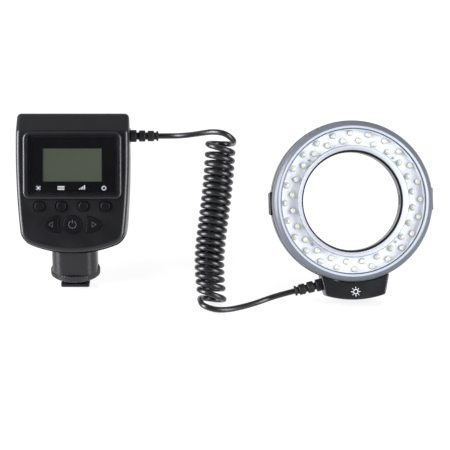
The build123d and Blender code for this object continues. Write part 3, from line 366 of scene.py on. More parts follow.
def arc_band(middle, inner, outer, first, last, steps=24):
    """A flat curved band from one angle to another, in degrees."""
    angles = [math.radians(first + (last - first) * i / steps) for i in range(steps + 1)]
    out = [(middle[0] + outer * math.cos(a), middle[1] + outer * math.sin(a)) for a in angles]
    back = [(middle[0] + inner * math.cos(a), middle[1] + inner * math.sin(a)) for a in reversed(angles)]
    return out + back


def disc(middle, radius, steps=24):
    return [(middle[0] + radius * math.cos(2 * math.pi * i / steps),
             middle[1] + radius * math.sin(2 * math.pi * i / steps)) for i in range(steps)]


def bar(x, z, width, height):
    return [(x - width / 2, z - height / 2), (x + width / 2, z - height / 2),
            (x + width / 2, z + height / 2), (x - width / 2, z + height / 2)]


def outline_frame(points, thickness):
    """The edge band of a convex outline, as one strip for each side."""
    middle = Vector((sum(p[0] for p in points) / len(points), sum(p[1] for p in points) / len(points)))
    strips = []
    for i, start in enumerate(points):
        end = points[(i + 1) % len(points)]
        inner = []
        for corner in (end, start):
            corner = Vector(corner)
            inner.append(tuple(corner + (middle - corner).normalized() * thickness))
        strips.append([tuple(start), tuple(end)] + inner)
    return strips


def finish_nodes(material, *names):
    """Gives CAD pieces a material in their own slots."""
    for name in names:
        for material_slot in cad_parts[name].material_slots:
            material_slot.material = material


def cached(name, maker, *settings, **named):
    """A material made once and shared."""
    found = bpy.data.materials.get(name)
    return found if found else maker(name, *settings, **named)


# Materials that more than one group of pieces shares

def black_plastic():
    """Injection-moulded plastic of both housings, cut from a spark-eroded mould."""
    # Gives near black, with a soft pale band along each rounded edge
    tone = tuple(bpy.context.scene.ring_flash_case.plastic)
    return cached("satin_black_plastic", moulded_plastic, tone, low=0.27, high=0.36, grain_strength=0.02,
                  sheen=0.42)


def white_print():
    """Screen-printed ink of the window's marks and the pod's mark."""
    # Gives a flat pale grey that reads clearly on the black
    tone = tuple(bpy.context.scene.ring_flash_case.marks)
    return cached("white_screen_print", moulded_plastic, tone, low=0.4, high=0.5, grain_strength=0.05,
                  grain_width=0.5)


def bright_steel():
    """Plated steel of springs, contacts and small screws."""
    # Gives a light grey that flashes in fine streaks
    return cached("bright_steel", worn_metal, linear("B9B9BC"), metallic=1.0, low=0.22, high=0.38)


def black_zinc_steel():
    """Black zinc plating on the screws that hold the housings."""
    # Gives a dark grey with a dull metal glint
    return cached("black_zinc_steel", worn_metal, linear("33343A"), metallic=0.9, low=0.3, high=0.45)


def solder_lacquer():
    """Lacquered circuit board of the controller, the pod and the lamp."""
    # Gives a deep green with paler tracks
    return cached("solder_lacquer", circuit_lacquer, linear("1E5A36"))


# Node trees for what repeats

def start_tree(name, inputs):
    """A geometry tree with named inputs; returns the tree and the sockets of its inputs."""
    tree = bpy.data.node_groups.new(name, "GeometryNodeTree")
    kinds = {"length": "NodeSocketFloat", "count": "NodeSocketInt", "angle": "NodeSocketFloat",
             "turns": "NodeSocketFloat"}
    for label, kind in inputs:
        tree.interface.new_socket(name=label, in_out="INPUT", socket_type=kinds[kind])
    tree.interface.new_socket(name="Geometry", in_out="OUTPUT", socket_type="NodeSocketGeometry")
    return tree, tree.nodes.new("NodeGroupInput").outputs


def finish_tree(tree, shape, material):
    real = add(tree, "GeometryNodeRealizeInstances", {"Geometry": shape})
    smooth = add(tree, "GeometryNodeSetShadeSmooth", {"Geometry": real.outputs["Geometry"]})
    done = add(tree, "GeometryNodeSetMaterial", {"Geometry": smooth.outputs["Geometry"],
                                                 "Material": material})
    add(tree, "NodeGroupOutput", {"Geometry": done.outputs["Geometry"]})


def grow(name, tree, values, place, sharp=40):
    """Runs a tree with its inputs set and keeps the result as a plain mesh."""
    seed = bpy.data.objects.new(name + "_seed", bpy.data.meshes.new(name + "_seed"))
    bpy.context.scene.collection.objects.link(seed)
    modifier = seed.modifiers.new("tree", "NODES")
    modifier.node_group = tree
    for item in tree.interface.items_tree:
        if item.in_out == "INPUT" and item.name in values:
            modifier[item.identifier] = values[item.name]
    bpy.context.view_layer.update()
    graph = bpy.context.evaluated_depsgraph_get()
    mesh = bpy.data.meshes.new_from_object(seed.evaluated_get(graph))
    bpy.data.objects.remove(seed)
    mesh.name = name
    mesh.set_sharp_from_angle(angle=math.radians(sharp))
    return new_piece(name, mesh, place)


def lens_tree(material):
    """Two staggered circles of domed lenses, each with its own flat distance from its middle."""
    tree, sockets = start_tree("diode_lenses", [
        ("Count", "count"), ("Outer circle", "length"), ("Inner circle", "length"), ("Lens radius", "length"),
        ("Stem", "length"), ("Stagger", "angle")])
    dome = add(tree, "GeometryNodeMeshUVSphere", {"Segments": 20, "Rings": 10,
                                                  "Radius": sockets["Lens radius"]})
    stem = add(tree, "GeometryNodeMeshCylinder", {"Vertices": 20, "Radius": sockets["Lens radius"],
                                                  "Depth": sockets["Stem"]})
    half = add(tree, "ShaderNodeMath", {0: sockets["Stem"], 1: -0.5}, operation="MULTIPLY")
    low = add(tree, "ShaderNodeCombineXYZ", {"Z": half.outputs["Value"]})
    lowered = add(tree, "GeometryNodeTransform", {"Geometry": stem.outputs["Mesh"],
                                                  "Translation": low.outputs["Vector"]})
    lens = add(tree, "GeometryNodeJoinGeometry")
    tree.links.new(dome.outputs["Mesh"], lens.inputs["Geometry"])
    tree.links.new(lowered.outputs["Geometry"], lens.inputs["Geometry"])
    place = add(tree, "GeometryNodeInputPosition")
    kept = add(tree, "GeometryNodeStoreNamedAttribute", {
        "Geometry": lens.outputs["Geometry"], "Name": "lens_place", "Value": place.outputs["Position"]},
        data_type="FLOAT_VECTOR", domain="POINT")
    both = add(tree, "GeometryNodeJoinGeometry")
    for circle, turn in (("Outer circle", False), ("Inner circle", True)):
        ring = add(tree, "GeometryNodeMeshCircle", {"Vertices": sockets["Count"], "Radius": sockets[circle]})
        points = ring.outputs["Mesh"]
        if turn:
            spin = add(tree, "ShaderNodeCombineXYZ", {"Z": sockets["Stagger"]})
            turned = add(tree, "GeometryNodeTransform", {"Geometry": points,
                                                         "Rotation": spin.outputs["Vector"]})
            points = turned.outputs["Geometry"]
        spread = add(tree, "GeometryNodeInstanceOnPoints", {"Points": points,
                                                            "Instance": kept.outputs["Geometry"]})
        tree.links.new(spread.outputs["Instances"], both.inputs["Geometry"])
    finish_tree(tree, both.outputs["Geometry"], material)
    return tree


def spring_tree(material):
    """One coil of round wire, standing on its lower end."""
    tree, sockets = start_tree("coil_spring", [
        ("Turns", "turns"), ("Coil radius", "length"), ("Wire radius", "length"), ("Height", "length")])
    coil = add(tree, "GeometryNodeCurveSpiral", {
        "Resolution": 20, "Rotations": sockets["Turns"], "Start Radius": sockets["Coil radius"],
        "End Radius": sockets["Coil radius"], "Height": sockets["Height"]})
    wire = add(tree, "GeometryNodeCurvePrimitiveCircle", {"Resolution": 10, "Radius": sockets["Wire radius"]})
    body = add(tree, "GeometryNodeCurveToMesh", {
        "Curve": coil.outputs["Curve"], "Profile Curve": wire.outputs["Curve"], "Fill Caps": True})
    finish_tree(tree, body.outputs["Mesh"], material)
    return tree


def screw_tree(material):
    """Screw heads with a cross recess, on the corners of a regular polygon."""
    tree, sockets = start_tree("cross_screws", [
        ("Count", "count"), ("Circle", "length"), ("First", "angle"), ("Head radius", "length"),
        ("Head height", "length"), ("Slot", "length")])
    head = add(tree, "GeometryNodeMeshCone", {
        "Vertices": 28, "Side Segments": 1, "Radius Bottom": sockets["Head radius"],
        "Depth": sockets["Head height"]}, fill_type="NGON")
    top = add(tree, "ShaderNodeMath", {0: sockets["Head radius"], 1: 0.78}, operation="MULTIPLY")
    tree.links.new(top.outputs["Value"], head.inputs["Radius Top"])
    long = add(tree, "ShaderNodeMath", {0: sockets["Head radius"], 1: 1.15}, operation="MULTIPLY")
    size = add(tree, "ShaderNodeCombineXYZ", {"X": long.outputs["Value"], "Y": sockets["Slot"],
                                              "Z": sockets["Head height"]})
    blade = add(tree, "GeometryNodeMeshCube", {"Size": size.outputs["Vector"]})
    across = add(tree, "GeometryNodeTransform", {"Geometry": blade.outputs["Mesh"],
                                                 "Rotation": (0.0, 0.0, math.radians(90))})
    cross = add(tree, "GeometryNodeMeshBoolean", operation="UNION", solver="EXACT")
    tree.links.new(blade.outputs["Mesh"], cross.inputs["Mesh 2"])
    tree.links.new(across.outputs["Geometry"], cross.inputs["Mesh 2"])
    lift = add(tree, "ShaderNodeCombineXYZ", {"Z": sockets["Head height"]})
    raised = add(tree, "GeometryNodeTransform", {"Geometry": cross.outputs["Mesh"],
                                                 "Translation": lift.outputs["Vector"]})
    cut = add(tree, "GeometryNodeMeshBoolean", {"Mesh 1": head.outputs["Mesh"]}, operation="DIFFERENCE",
              solver="EXACT")
    tree.links.new(raised.outputs["Geometry"], cut.inputs["Mesh 2"])
    ring = add(tree, "GeometryNodeMeshCircle", {"Vertices": sockets["Count"], "Radius": sockets["Circle"]})
    spin = add(tree, "ShaderNodeCombineXYZ", {"Z": sockets["First"]})
    turned = add(tree, "GeometryNodeTransform", {"Geometry": ring.outputs["Mesh"],
                                                 "Rotation": spin.outputs["Vector"]})
    spread = add(tree, "GeometryNodeInstanceOnPoints", {"Points": turned.outputs["Geometry"],
                                                        "Instance": cut.outputs["Mesh"]})
    finish_tree(tree, spread.outputs["Instances"], material)
    return tree


# Cord

# The cord's route in millimetres, as in the part's source
case_tip = (55.3, 16.5, 96.8)
lead_top_route = [(61.3, 16.5, 96.8), (68.8, 14.4, 97.7), (75.1, 9.9, 100.0), (80.2, 4.3, 102.8),
                  (85.1, -1.4, 105.8), (91.1, -6.4, 108.5), (98.8, -10.2, 109.0)]
lead_bottom_route = [(84.3, -55.9, 8.4), (92.7, -58.4, 6.4), (101.0, -55.3, 5.2), (107.8, -50.5, 4.4),
                     (114.1, -45.2, 3.7), (120.7, -40.2, 3.6), (127.8, -36.1, 4.6)]
pod_out = (136.2, -36.7, 7.7)
pod_tip = (143.9, -35.4, 9.2)
curl_start = Vector((96.1, 1.5, 99.7)) * mm
# Both ends of the coil hang looser and lean back, which fades within a turn or so. Its lower half sways left
curl_relax_turns = 1.1
curl_loose_top, curl_loose_bottom = 4.7 * mm, 4.36 * mm
curl_tilt_top, curl_tilt_bottom = math.radians(10.4), math.radians(15.3)
curl_sway, curl_sway_power = 3.26 * mm, 2.2
# Straight run-in and run-out of the coil: how far their two points lie from its ends
run_in = (11.1 * mm, 3.7 * mm)
run_out = (3.7 * mm, 8.3 * mm)
curl_down = Vector((-4.8, -36.0, -82.9)).normalized()
curl_right = (Vector((1, 0, 0)) - curl_down * curl_down.x).normalized()
curl_back = curl_right.cross(curl_down)


def curl_point(turn, settings):
    """The cord's middle after so many turns, from the right of the coil and round its back."""
    start_fade = math.exp(-turn / curl_relax_turns)
    end_fade = math.exp((turn - settings.turns) / curl_relax_turns)
    share = turn / settings.turns
    radius = settings.radius_top + (settings.radius_bottom - settings.radius_top) * share
    along = settings.pitch * turn + curl_loose_top * (1 - start_fade) + curl_loose_bottom * end_fade
    slope = math.tan(curl_tilt_top) * start_fade + math.tan(curl_tilt_bottom) * end_fade
    angle = 2 * math.pi * turn
    along += radius * slope * math.cos(angle)
    sway = -curl_sway * math.sin(math.pi * max(share, 0) ** curl_sway_power)
    middle = curl_start + curl_down * along + curl_right * sway
    return middle + curl_right * (radius * math.cos(angle)) + curl_back * (radius * math.sin(angle))


def curl_direction(turn, settings):
    return (curl_point(turn + 1e-4, settings) - curl_point(turn - 1e-4, settings)).normalized()


def cord_points(settings):
    """Every point of the cord's line, from the case to the pod."""
    first = curl_direction(0, settings)
    last = curl_direction(settings.turns, settings)
    start = curl_point(0, settings)
    end = curl_point(settings.turns, settings)
    points = [Vector(case_tip) * mm] + [Vector(p) * mm for p in lead_top_route]
    points += [start - first * distance for distance in run_in]
    count = int(settings.turns * settings.steps)
    points += [curl_point(i / settings.steps, settings) for i in range(count + 1)]
    points += [end + last * distance for distance in run_out]
    points += [Vector(p) * mm for p in lead_bottom_route]
    return points + [Vector(pod_out) * mm, Vector(pod_tip) * mm]


class RINGFLASH_OT_cord(bpy.types.Operator):
    """Lays the curly cord from the case to the pod"""
    bl_idname = "ringflash.cord"
    bl_label = "Cord"

    def execute(self, context):
        settings = context.scene.ring_flash_cord
        points = cord_points(settings)
        line = bpy.data.curves.new("cord", "CURVE")
        line.dimensions = "3D"
        line.resolution_u = 3
        line.bevel_depth = settings.diameter / 2
        line.bevel_resolution = 4
        line.use_fill_caps = True
        spline = line.splines.new("NURBS")
        spline.points.add(len(points) - 1)
        for target, point in zip(spline.points, points):
            target.co = (*point, 1)
        spline.order_u = 3
        spline.use_endpoint_u = True
        piece = bpy.data.objects.new("cord", line)
        context.scene.collection.objects.link(piece)
        # Extruded sheath: black with a long narrow highlight along the top of each curl
        rubber = cached("polyurethane_sheath", moulded_plastic, tuple(settings.rubber), low=0.24, high=0.34,
                        grain_strength=0.15, grain_width=0.3846, sheen=0.45)
        line.materials.append(rubber)
        length = measured_length(piece)
        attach(piece, "case")
        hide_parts("cord_lead_top", "cord_curls", "cord_lead_bottom")
        return {"FINISHED"}


def measured_length(piece):
    """Length of a curve's own line, in metres."""
    depth = piece.data.bevel_depth
    piece.data.bevel_depth = 0
    graph = bpy.context.evaluated_depsgraph_get()
    mesh = bpy.data.meshes.new_from_object(piece.evaluated_get(graph))
    total = 0
    for edge in mesh.edges:
        start, end = (mesh.vertices[index].co for index in edge.vertices)
        total += (end - start).length
    piece.data.bevel_depth = depth
    bpy.data.meshes.remove(mesh)
    return total


# Controller

class RINGFLASH_OT_case(bpy.types.Operator):
    """Finishes the two case halves, the pedestal and the parts that hold the case together"""
    bl_idname = "ringflash.case"
    bl_label = "Case"

    def execute(self, context):
        finish_nodes(black_plastic(), "front_cover", "rear_cover", "pedestal", "cord_clip_case",
                     "cord_clip_pod")
        finish_nodes(black_zinc_steel(), "case_screws", "pedestal_screws", "pod_screws")
        finish_nodes(bright_steel(), "pedestal_plate")
        return {"FINISHED"}


class RINGFLASH_OT_keys(bpy.types.Operator):
    """Finishes the keys and puts raised symbols on the three lower ones"""
    bl_idname = "ringflash.keys"
    bl_label = "Keys"

    def execute(self, context):
        settings = context.scene.ring_flash_case
        # Moulded silicone: softer and duller than the case round it, so that each key stands out by its edge
        rubber = cached("silicone_rubber", moulded_plastic, tuple(settings.keys), low=0.36, high=0.46,
                        grain_strength=0.05, grain_width=0.4167, sheen=0.08)
        names = ["round_key_1", "round_key_2", "round_key_3", "round_key_4",
                 "nav_key_left", "nav_key_centre", "nav_key_right", "key_mat"]
        finish_nodes(rubber, *names)
        # The same rubber tinted grey: the symbols are only just paler than their keys
        raised = cached("symbol_rubber", moulded_plastic, tuple(settings.symbols), low=0.4, high=0.55,
                        grain_strength=0.15, grain_width=0.4167)
        middle_z = 18.25
        arrow_tip_x, arrow_base_x, arrow_half, arrow_edge = 15.6, 12.6, 1.9, 0.55
        ring_inner, ring_outer, stroke, stroke_length = 2.2, 2.6, 0.42, 2.2
        key_face = -0.9
        foot_depth = -0.86
        front = key_face - settings.symbol_height / mm
        left = [(-arrow_tip_x, middle_z), (-arrow_base_x, middle_z + arrow_half),
                (-arrow_base_x, middle_z - arrow_half)]
        right = [(-x, z) for x, z in left]
        ring = [arc_band((0, middle_z), ring_inner, ring_outer, 120, 420),
                bar(0, middle_z + arrow_half, stroke, stroke_length)]
        for name, outlines in (("nav_key_left", outline_frame(left, arrow_edge)),
                               ("nav_key_right", outline_frame(right, arrow_edge)), ("nav_key_centre", ring)):
            mesh = plate_mesh(name + "_symbol", outlines, front, foot_depth)
            mesh.materials.append(raised)
            piece = new_piece(name + "_symbol", mesh, case_place)
            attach(piece, name)
        return {"FINISHED"}


class RINGFLASH_OT_display(bpy.types.Operator):
    """Finishes the window, its black border, the display and the row of marks under it"""
    bl_idname = "ringflash.display"
    bl_label = "Display"

    def execute(self, context):
        settings = context.scene.ring_flash_case
        # Tinted acrylic: glossy, and dark enough to sink the display behind it
        window = cached("tinted_window", clear_acrylic, linear("101014"), alpha=0.12, low=0.04, high=0.09)
        finish_nodes(window, "display_window")
        # Ink on the window's back: the blackest part of the front
        border = cached("black_print", moulded_plastic, linear("060607"), low=0.35, high=0.45,
                        grain_strength=0.05, grain_width=0.5, sheen=0.08)
        finish_nodes(border, "window_mask")
        # Unlit liquid crystal: flat grey-green, a little cloudy
        glass = cached("display_glass", display_glass, tuple(settings.display_light),
                       tuple(settings.display_dark))
        finish_nodes(glass, "lcd_panel")
        # Light guide with ground faces: milky white
        guide = cached("frosted_acrylic", moulded_plastic, linear("E2E2DC"), low=0.3, high=0.4,
                       grain_strength=0.05, grain_width=0.5)
        finish_nodes(guide, "lcd_backlight")
        marks_z = 41.9
        lamp_x, mode_x, level_x, power_x = -21.9, -7.3, 6.3, 20.5
        front, back = -0.885, -0.86
        dot, ray_inner, ray_outer, ray_sweep = 0.75, 1.25, 1.6, 50
        lamp = [disc((lamp_x, marks_z), dot)]
        lamp += [arc_band((lamp_x, marks_z), ray_inner, ray_outer, first, first + ray_sweep, 6)
                 for first in range(20, 360, 90)]
        line_width, line_height, line_rise = 4.4, 0.5, 0.95
        mode = [bar(mode_x, marks_z + rise, line_width, line_height) for rise in (line_rise, 0, -line_rise)]
        level_count, level_pitch, level_width, level_step, level_foot = 4, 1.1, 0.6, 0.7, 1.0
        level = [bar(level_x + level_pitch * (i - (level_count - 1) / 2),
                     marks_z - level_foot + level_step / 2 * (i + 1), level_width, level_step * (i + 1))
                 for i in range(level_count)]
        arc_inner, arc_outer, stroke, stroke_length, stroke_rise = 1.05, 1.5, 0.45, 1.5, 0.95
        power = [arc_band((power_x, marks_z), arc_inner, arc_outer, 125, 415),
                 bar(power_x, marks_z + stroke_rise, stroke, stroke_length)]
        mesh = plate_mesh("window_marks", lamp + mode + level + power, front, back)
        mesh.materials.append(white_print())
        piece = new_piece("window_marks", mesh, case_place)
        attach(piece, "case")
        return {"FINISHED"}


class RINGFLASH_OT_inside(bpy.types.Operator):
    """Finishes the boards, the battery bay and its door"""
    bl_idname = "ringflash.inside"
    bl_label = "Boards and battery bay"

    def execute(self, context):
        settings = context.scene.ring_flash_case
        finish_nodes(solder_lacquer(), "main_board", "driver_board")
        # Filled epoxy of chips and switches: dull black
        chips = cached("chip_resin", moulded_plastic, linear("1A1A1C"), low=0.5, high=0.6)
        finish_nodes(chips, "board_parts", "key_switches")
        finish_nodes(black_plastic(), "battery_tray", "battery_door")
        # Shrunk film: smooth grey with a clear highlight along each cell
        sleeve = cached("cell_sleeve", moulded_plastic, tuple(settings.battery), low=0.2, high=0.3,
                        grain_strength=0.05, grain_width=0.6667)
        finish_nodes(sleeve, "battery_cells")
        finish_nodes(bright_steel(), "cell_contacts")
        door_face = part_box("battery_door")[1].y / mm
        proud, sunk = 0.2, 0.04
        half, top_z, tip_drop, thick = 3.2, 47.0, 3.4, 1.0
        left = [(-half, top_z - thick), (0.0, top_z - thick - tip_drop), (0.0, top_z - tip_drop),
                (-half, top_z)]
        right = [(-x, z) for x, z in reversed(left)]
        mesh = plate_mesh("door_arrow", [left, right], door_face - sunk, door_face + proud)
        mesh.materials.append(black_plastic())
        piece = new_piece("door_arrow", mesh)
        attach(piece, "battery_door")
        return {"FINISHED"}


class RINGFLASH_OT_foot(bpy.types.Operator):
    """Finishes the clamp wheel, its plate, the foot and the sprung contact"""
    bl_idname = "ringflash.foot"
    bl_label = "Foot and clamp"

    def execute(self, context):
        settings = context.scene.ring_flash_case
        # Glass-filled nylon: black, with each tooth of the knurl catching the light
        knurled = cached("knurled_nylon", moulded_plastic, linear("18181B"), low=0.28, high=0.36,
                         grain_strength=0.03, sheen=0.55)
        finish_nodes(knurled, "lock_wheel")
        # Anodised aluminium: blue-black metal with fine draw lines
        metal = cached("black_anodised", worn_metal, tuple(settings.foot), metallic=0.85, low=0.3, high=0.45)
        finish_nodes(metal, "shoe_foot", "lock_plate")
        # Turned brass: a warm yellow glint under the foot
        brass = cached("turned_brass", worn_metal, linear("C79A4B"), metallic=1.0, low=0.2, high=0.3)
        finish_nodes(brass, "centre_contact")
        return {"FINISHED"}


class RINGFLASH_OT_boots(bpy.types.Operator):
    """Finishes the two segmented strain reliefs"""
    bl_idname = "ringflash.boots"
    bl_label = "Strain reliefs"

    def execute(self, context):
        tone = tuple(0.8 * channel for channel in context.scene.ring_flash_cord.rubber)
        # Soft vinyl: duller and darker than the cord, so that its segments read as one matt piece
        rubber = cached("vinyl_strain_relief", moulded_plastic, tone, low=0.42, high=0.55, grain_strength=0.3,
                        grain_width=0.4545)
        finish_nodes(rubber, "controller_boot", "ring_boot")
        return {"FINISHED"}


# Ring lamp

class RINGFLASH_OT_lenses(bpy.types.Operator):
    """Sets the two staggered circles of diodes in their plate"""
    bl_idname = "ringflash.lenses"
    bl_label = "Diodes and plate"

    def execute(self, context):
        settings = context.scene.ring_flash_lamp
        stem = 3.1 * mm
        dome_depth = 4.8 * mm
        # Cast epoxy: glossy milky domes with a warm yellow middle
        resin = cached("lens_resin", lens_resin, tuple(settings.lens_rim), tuple(settings.lens_core))
        values = {"Count": settings.count, "Outer circle": settings.outer, "Inner circle": settings.inner,
                  "Lens radius": settings.lens, "Stem": stem, "Stagger": math.pi / settings.count}
        place = ring_place @ Matrix.Translation((0, dome_depth, 0)) @ upright
        piece = grow("diode_lenses", lens_tree(resin), values, place)
        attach(piece, "case")
        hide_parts("leds")
        # White styrene: a matt, even, slightly cool white
        white = cached("white_plate", moulded_plastic, tuple(settings.plate), low=0.5, high=0.6,
                       grain_strength=0.03, grain_width=0.5556, sheen=0.15)
        finish_nodes(white, "reflector_plate")
        finish_nodes(solder_lacquer(), "led_board")
        return {"FINISHED"}


class RINGFLASH_OT_cover(bpy.types.Operator):
    """Turns the clear cover with its rounded lips"""
    bl_idname = "ringflash.cover"
    bl_label = "Clear cover"

    def execute(self, context):
        settings = context.scene.ring_flash_lamp
        profile = [(33.2, 8.0), (33.2, 3.0), (33.35, 2.45), (35.4, 0.25), (35.8, 0.0), (36.2, 0.0),
                   (46.3, 0.0), (47.2, 0.0), (48.6, 0.0), (49.2, 0.2), (51.1, 1.75), (51.6, 2.5),
                   (52.05, 4.1), (52.1, 4.5), (52.1, 9.4), (50.5, 9.4), (50.5, 4.7), (50.1, 3.2),
                   (48.4, 1.7), (47.8, 1.6), (36.8, 1.6), (36.3, 1.8), (34.9, 3.3), (34.8, 3.7), (34.8, 8.0)]
        mesh = turned_mesh("clear_cover_ring", profile)
        # Clear acrylic: the flat face hardly shows, and where the eye looks along a wall it turns milky grey,
        # which is painted shade on the rim's own copy below
        mesh.materials.append(cached("clear_acrylic", clear_acrylic, tuple(settings.cover),
                                     alpha=settings.cover_alpha, low=0.05, high=0.12))
        # Copies of the clear acrylic with painted light and shade: painted grey shade on the outer rim,
        # painted light on the inner lip, a painted highlight on the pale band and painted shade on the thin
        # dark lines
        for name, tone, alpha, gloss in (("edge_lit_acrylic", settings.rim, 0.75, 0.26),
                                         ("lit_lip_acrylic", settings.lip, 0.8, 0.2),
                                         ("pale_band_acrylic", settings.band, 0.75, 0.2),
                                         ("shaded_line_acrylic", settings.line, 0.6, 0.2)):
            mesh.materials.append(cached(name, clear_acrylic, tuple(tone), alpha, gloss, gloss + 0.1))
        # Each face takes the painted light or shade of its ring of radius: lip, dark line, clear face, dark
        # line, pale band, rim
        face, rim, lip, band, line = range(5)
        bands = ((35.8, lip), (36.2, line), (46.3, face), (47.2, line), (48.6, band), (math.inf, rim))
        for polygon in mesh.polygons:
            radius = math.hypot(polygon.center.x, polygon.center.z) / mm
            polygon.material_index = next(index for limit, index in bands if radius < limit)
        piece = new_piece("clear_cover_ring", mesh, ring_place)
        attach(piece, "case")
        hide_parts("clear_cover")
        return {"FINISHED"}


class RINGFLASH_OT_ring_body(bpy.types.Operator):
    """Finishes the ring's body, the pod under it and the release buttons"""
    bl_idname = "ringflash.ring_body"
    bl_label = "Ring body and pod"

    def execute(self, context):
        finish_nodes(black_plastic(), "ring_housing", "rear_plate", "pod_front", "pod_rear",
                     "latch_ring_left", "latch_ring_right", "release_button_left", "release_button_right")
        middle = (0, -58.4)
        disc_inner, disc_outer = 1.2, 1.65
        ray_count, ray_middle, ray_length, ray_width = 8, 2.55, 0.9, 0.42
        front, back = 2.97, 3.0
        lamp = [arc_band(middle, disc_inner, disc_outer, 0, 360, 36)]
        for turn in range(0, 360, 360 // ray_count):
            aim = Matrix.Rotation(math.radians(turn), 2)
            ray = [aim @ Vector(corner) for corner in bar(ray_middle, 0, ray_length, ray_width)]
            lamp.append([(middle[0] + corner.x, middle[1] + corner.y) for corner in ray])
        mesh = plate_mesh("pod_mark", lamp, front, back)
        mesh.materials.append(white_print())
        piece = new_piece("pod_mark", mesh, ring_place)
        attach(piece, "case")
        return {"FINISHED"}


class RINGFLASH_OT_screws(bpy.types.Operator):
    """Puts cross-headed screws in the ring's back plate and in its white plate"""
    bl_idname = "ringflash.screws"
    bl_label = "Screws"

    def execute(self, context):
        backward = Matrix.Rotation(math.radians(-90), 4, "X")
        back_screws = {"Count": 6, "Circle": 46.4 * mm, "First": math.radians(90), "Head radius": 1.9 * mm,
                       "Head height": 0.8 * mm, "Slot": 0.45 * mm}
        back_face = Matrix.Translation((0, 19.95 * mm, 0)) @ backward
        tree = screw_tree(black_zinc_steel())
        piece = grow("back_plate_screws", tree, back_screws, ring_place @ back_face, sharp=30)
        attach(piece, "case")
        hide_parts("ring_screws")
        plate_screws = {"Count": 4, "Circle": 38.3 * mm, "First": math.radians(45), "Head radius": 1.0 * mm,
                        "Head height": 0.6 * mm, "Slot": 0.25 * mm}
        plate_face = Matrix.Translation((0, 5.6 * mm, 0)) @ upright
        tree = screw_tree(bright_steel())
        piece = grow("white_plate_screws", tree, plate_screws, ring_place @ plate_face, sharp=30)
        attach(piece, "case")
        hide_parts("plate_screws")
        return {"FINISHED"}


def node_span(name, place):
    """Lowest and highest corner of a CAD piece, along the axes of a housing's frame."""
    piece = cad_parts[name]
    inward = place.inverted() @ piece.matrix_world
    points = [inward @ vertex.co for vertex in piece.data.vertices]
    return [Vector([choose(point[i] for point in points) for i in range(3)]) for choose in (min, max)]


def wind_spring(node, place, along, fixed_end, wire, turns):
    """Winds a coil in the room of a spring's plain sleeve."""
    low, high = node_span(node, place)
    length = high[along] - low[along]
    across = 2 - along
    radius = (high[across] - low[across]) / 2
    start = (low + high) / 2
    start[along] = low[along] + wire
    facing = Matrix.Rotation(math.radians(90), 4, "Y") if along == 0 else Matrix()
    values = {"Turns": turns, "Coil radius": radius - wire, "Wire radius": wire, "Height": length - 2 * wire}
    stand = place @ Matrix.Translation(start) @ facing
    piece = grow(node + "_coil", spring_tree(bright_steel()), values, stand)
    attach(piece, "case")
    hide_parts(node)
    axis = Vector((0, 0, 0))
    axis[along] = 1
    anchor = (low + high) / 2
    anchor[along] = (low, high)[fixed_end][along]
    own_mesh(piece)


class RINGFLASH_OT_springs(bpy.types.Operator):
    """Winds the three return springs"""
    bl_idname = "ringflash.springs"
    bl_label = "Springs"

    def execute(self, context):
        x, z = 0, 2
        low_end, high_end = 0, 1
        wind_spring("contact_spring", Matrix(), z, high_end,
                    wire=0.15 * mm, turns=7)
        wind_spring("latch_spring_left", ring_place, x, high_end,
                    wire=0.2 * mm, turns=8)
        wind_spring("latch_spring_right", ring_place, x, low_end,
                    wire=0.2 * mm, turns=8)
        return {"FINISHED"}


# Stage

def soft_light(name, place, aim, size, power):
    lamp = bpy.data.lights.new(name, "AREA")
    lamp.shape = "RECTANGLE"
    lamp.size, lamp.size_y = size
    lamp.energy = power
    lamp.color = (0.94, 0.95, 1.0)
    light = bpy.data.objects.new(name, lamp)
    light.location = place
    light.rotation_euler = (Vector(aim) - Vector(place)).to_track_quat("-Z", "Y").to_euler()
    bpy.context.scene.collection.objects.link(light)


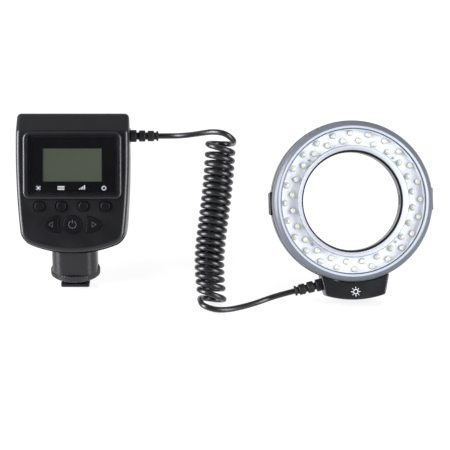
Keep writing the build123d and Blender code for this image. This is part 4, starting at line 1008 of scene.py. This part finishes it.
class RINGFLASH_OT_stage(bpy.types.Operator):
    """Sets up the camera, the pale floor, the soft lights and the surroundings"""
    bl_idname = "ringflash.stage"
    bl_label = "Stage"

    def execute(self, context):
        settings = context.scene.ring_flash_stage
        aim = Vector((98.8, -9.0, 44.44)) * mm
        ahead = Vector((0, math.cos(settings.pitch), -math.sin(settings.pitch)))
        camera_data = bpy.data.cameras.new("camera")
        camera_data.lens = settings.lens
        camera_data.sensor_width = 36
        camera_data.clip_end = 50
        camera = bpy.data.objects.new("camera", camera_data)
        camera.location = aim - ahead * settings.distance
        camera.rotation_euler = (math.radians(90) - settings.pitch, 0, 0)
        context.scene.collection.objects.link(camera)
        context.scene.camera = camera
        context.scene.view_settings.view_transform = "Standard"
        shape = bmesh.new()
        reach = 3
        corners = [(-reach, -reach, 0), (reach, -reach, 0), (reach, reach, 0), (-reach, reach, 0)]
        shape.faces.new([shape.verts.new(corner) for corner in corners])
        floor = new_piece("floor", finished_mesh("floor", shape))
        # Backlit acrylic table: even white with a faint gloss
        material, tree, shader = start_material("pale_floor")
        shader.inputs["Base Color"].default_value = tuple(settings.floor) + (1,)
        shader.inputs["Roughness"].default_value = 0.12
        shader.inputs["Emission Color"].default_value = (1, 1, 1, 1)
        shader.inputs["Emission Strength"].default_value = settings.glow
        floor.data.materials.append(material)
        world = bpy.data.worlds.new("surroundings")
        world.use_nodes = True
        context.scene.world = world
        sky = world.node_tree
        direction = add(sky, "ShaderNodeTexCoord").outputs["Generated"]
        split = add(sky, "ShaderNodeSeparateXYZ", {"Vector": direction})
        level = add(sky, "ShaderNodeMapRange", {"Value": split.outputs["Y"], "From Min": -0.6,
                                                "From Max": 0.6, "To Min": settings.room,
                                                "To Max": settings.backdrop})
        sky.links.new(level.outputs["Result"], sky.nodes["Background"].inputs["Strength"])
        sky.nodes["Background"].inputs["Color"].default_value = (1, 1, 1, 1)
        middle = (0.1, 0, 0.05)
        soft_light("left_light", (-0.95, -0.4, 0.45), middle, (0.6, 1.0), settings.left_power)
        soft_light("right_light", (1.0, -0.75, 0.45), middle, (0.6, 1.0), settings.right_power)
        soft_light("top_light", (0.1, 0.25, 1.0), middle, (1.2, 0.8), settings.top_power)
        return {"FINISHED"}


class RINGFLASH_PT_build(bpy.types.Panel):
    """Lists the steps that build the ring flash"""
    bl_idname = "RINGFLASH_PT_build"
    bl_label = "Ring flash"
    bl_space_type = "VIEW_3D"
    bl_region_type = "UI"
    bl_category = "Ring Flash"

    def draw(self, context):
        for step in steps:
            self.layout.operator(step.bl_idname)
        for group in ("ring_flash_case", "ring_flash_cord", "ring_flash_lamp", "ring_flash_stage"):
            settings = getattr(context.scene, group)
            column = self.layout.column()
            for key in settings.__annotations__:
                column.prop(settings, key)


setting_groups = {"ring_flash_case": CaseSettings, "ring_flash_cord": CordSettings,
                  "ring_flash_lamp": LampSettings, "ring_flash_stage": StageSettings}
steps = [RINGFLASH_OT_stage, RINGFLASH_OT_cord, RINGFLASH_OT_case, RINGFLASH_OT_keys, RINGFLASH_OT_display,
         RINGFLASH_OT_inside, RINGFLASH_OT_foot, RINGFLASH_OT_boots, RINGFLASH_OT_lenses, RINGFLASH_OT_cover,
         RINGFLASH_OT_ring_body, RINGFLASH_OT_screws, RINGFLASH_OT_springs]


def register():
    for group in setting_groups.values():
        bpy.utils.register_class(group)
    for name, group in setting_groups.items():
        setattr(bpy.types.Scene, name, bpy.props.PointerProperty(type=group))
    for step in steps:
        bpy.utils.register_class(step)
    bpy.utils.register_class(RINGFLASH_PT_build)


def unregister():
    bpy.utils.unregister_class(RINGFLASH_PT_build)
    for step in reversed(steps):
        bpy.utils.unregister_class(step)
    for name, group in setting_groups.items():
        delattr(bpy.types.Scene, name)
        bpy.utils.unregister_class(group)


def main():
    register()
    bpy.ops.ringflash.stage()
    bpy.ops.ringflash.cord()
    bpy.ops.ringflash.case()
    bpy.ops.ringflash.keys()
    bpy.ops.ringflash.display()
    bpy.ops.ringflash.inside()
    bpy.ops.ringflash.foot()
    bpy.ops.ringflash.boots()
    bpy.ops.ringflash.lenses()
    bpy.ops.ringflash.cover()
    bpy.ops.ringflash.ring_body()
    bpy.ops.ringflash.screws()
    bpy.ops.ringflash.springs()
    bpy.context.view_layer.update()


if __name__ == "__main__":
    main()
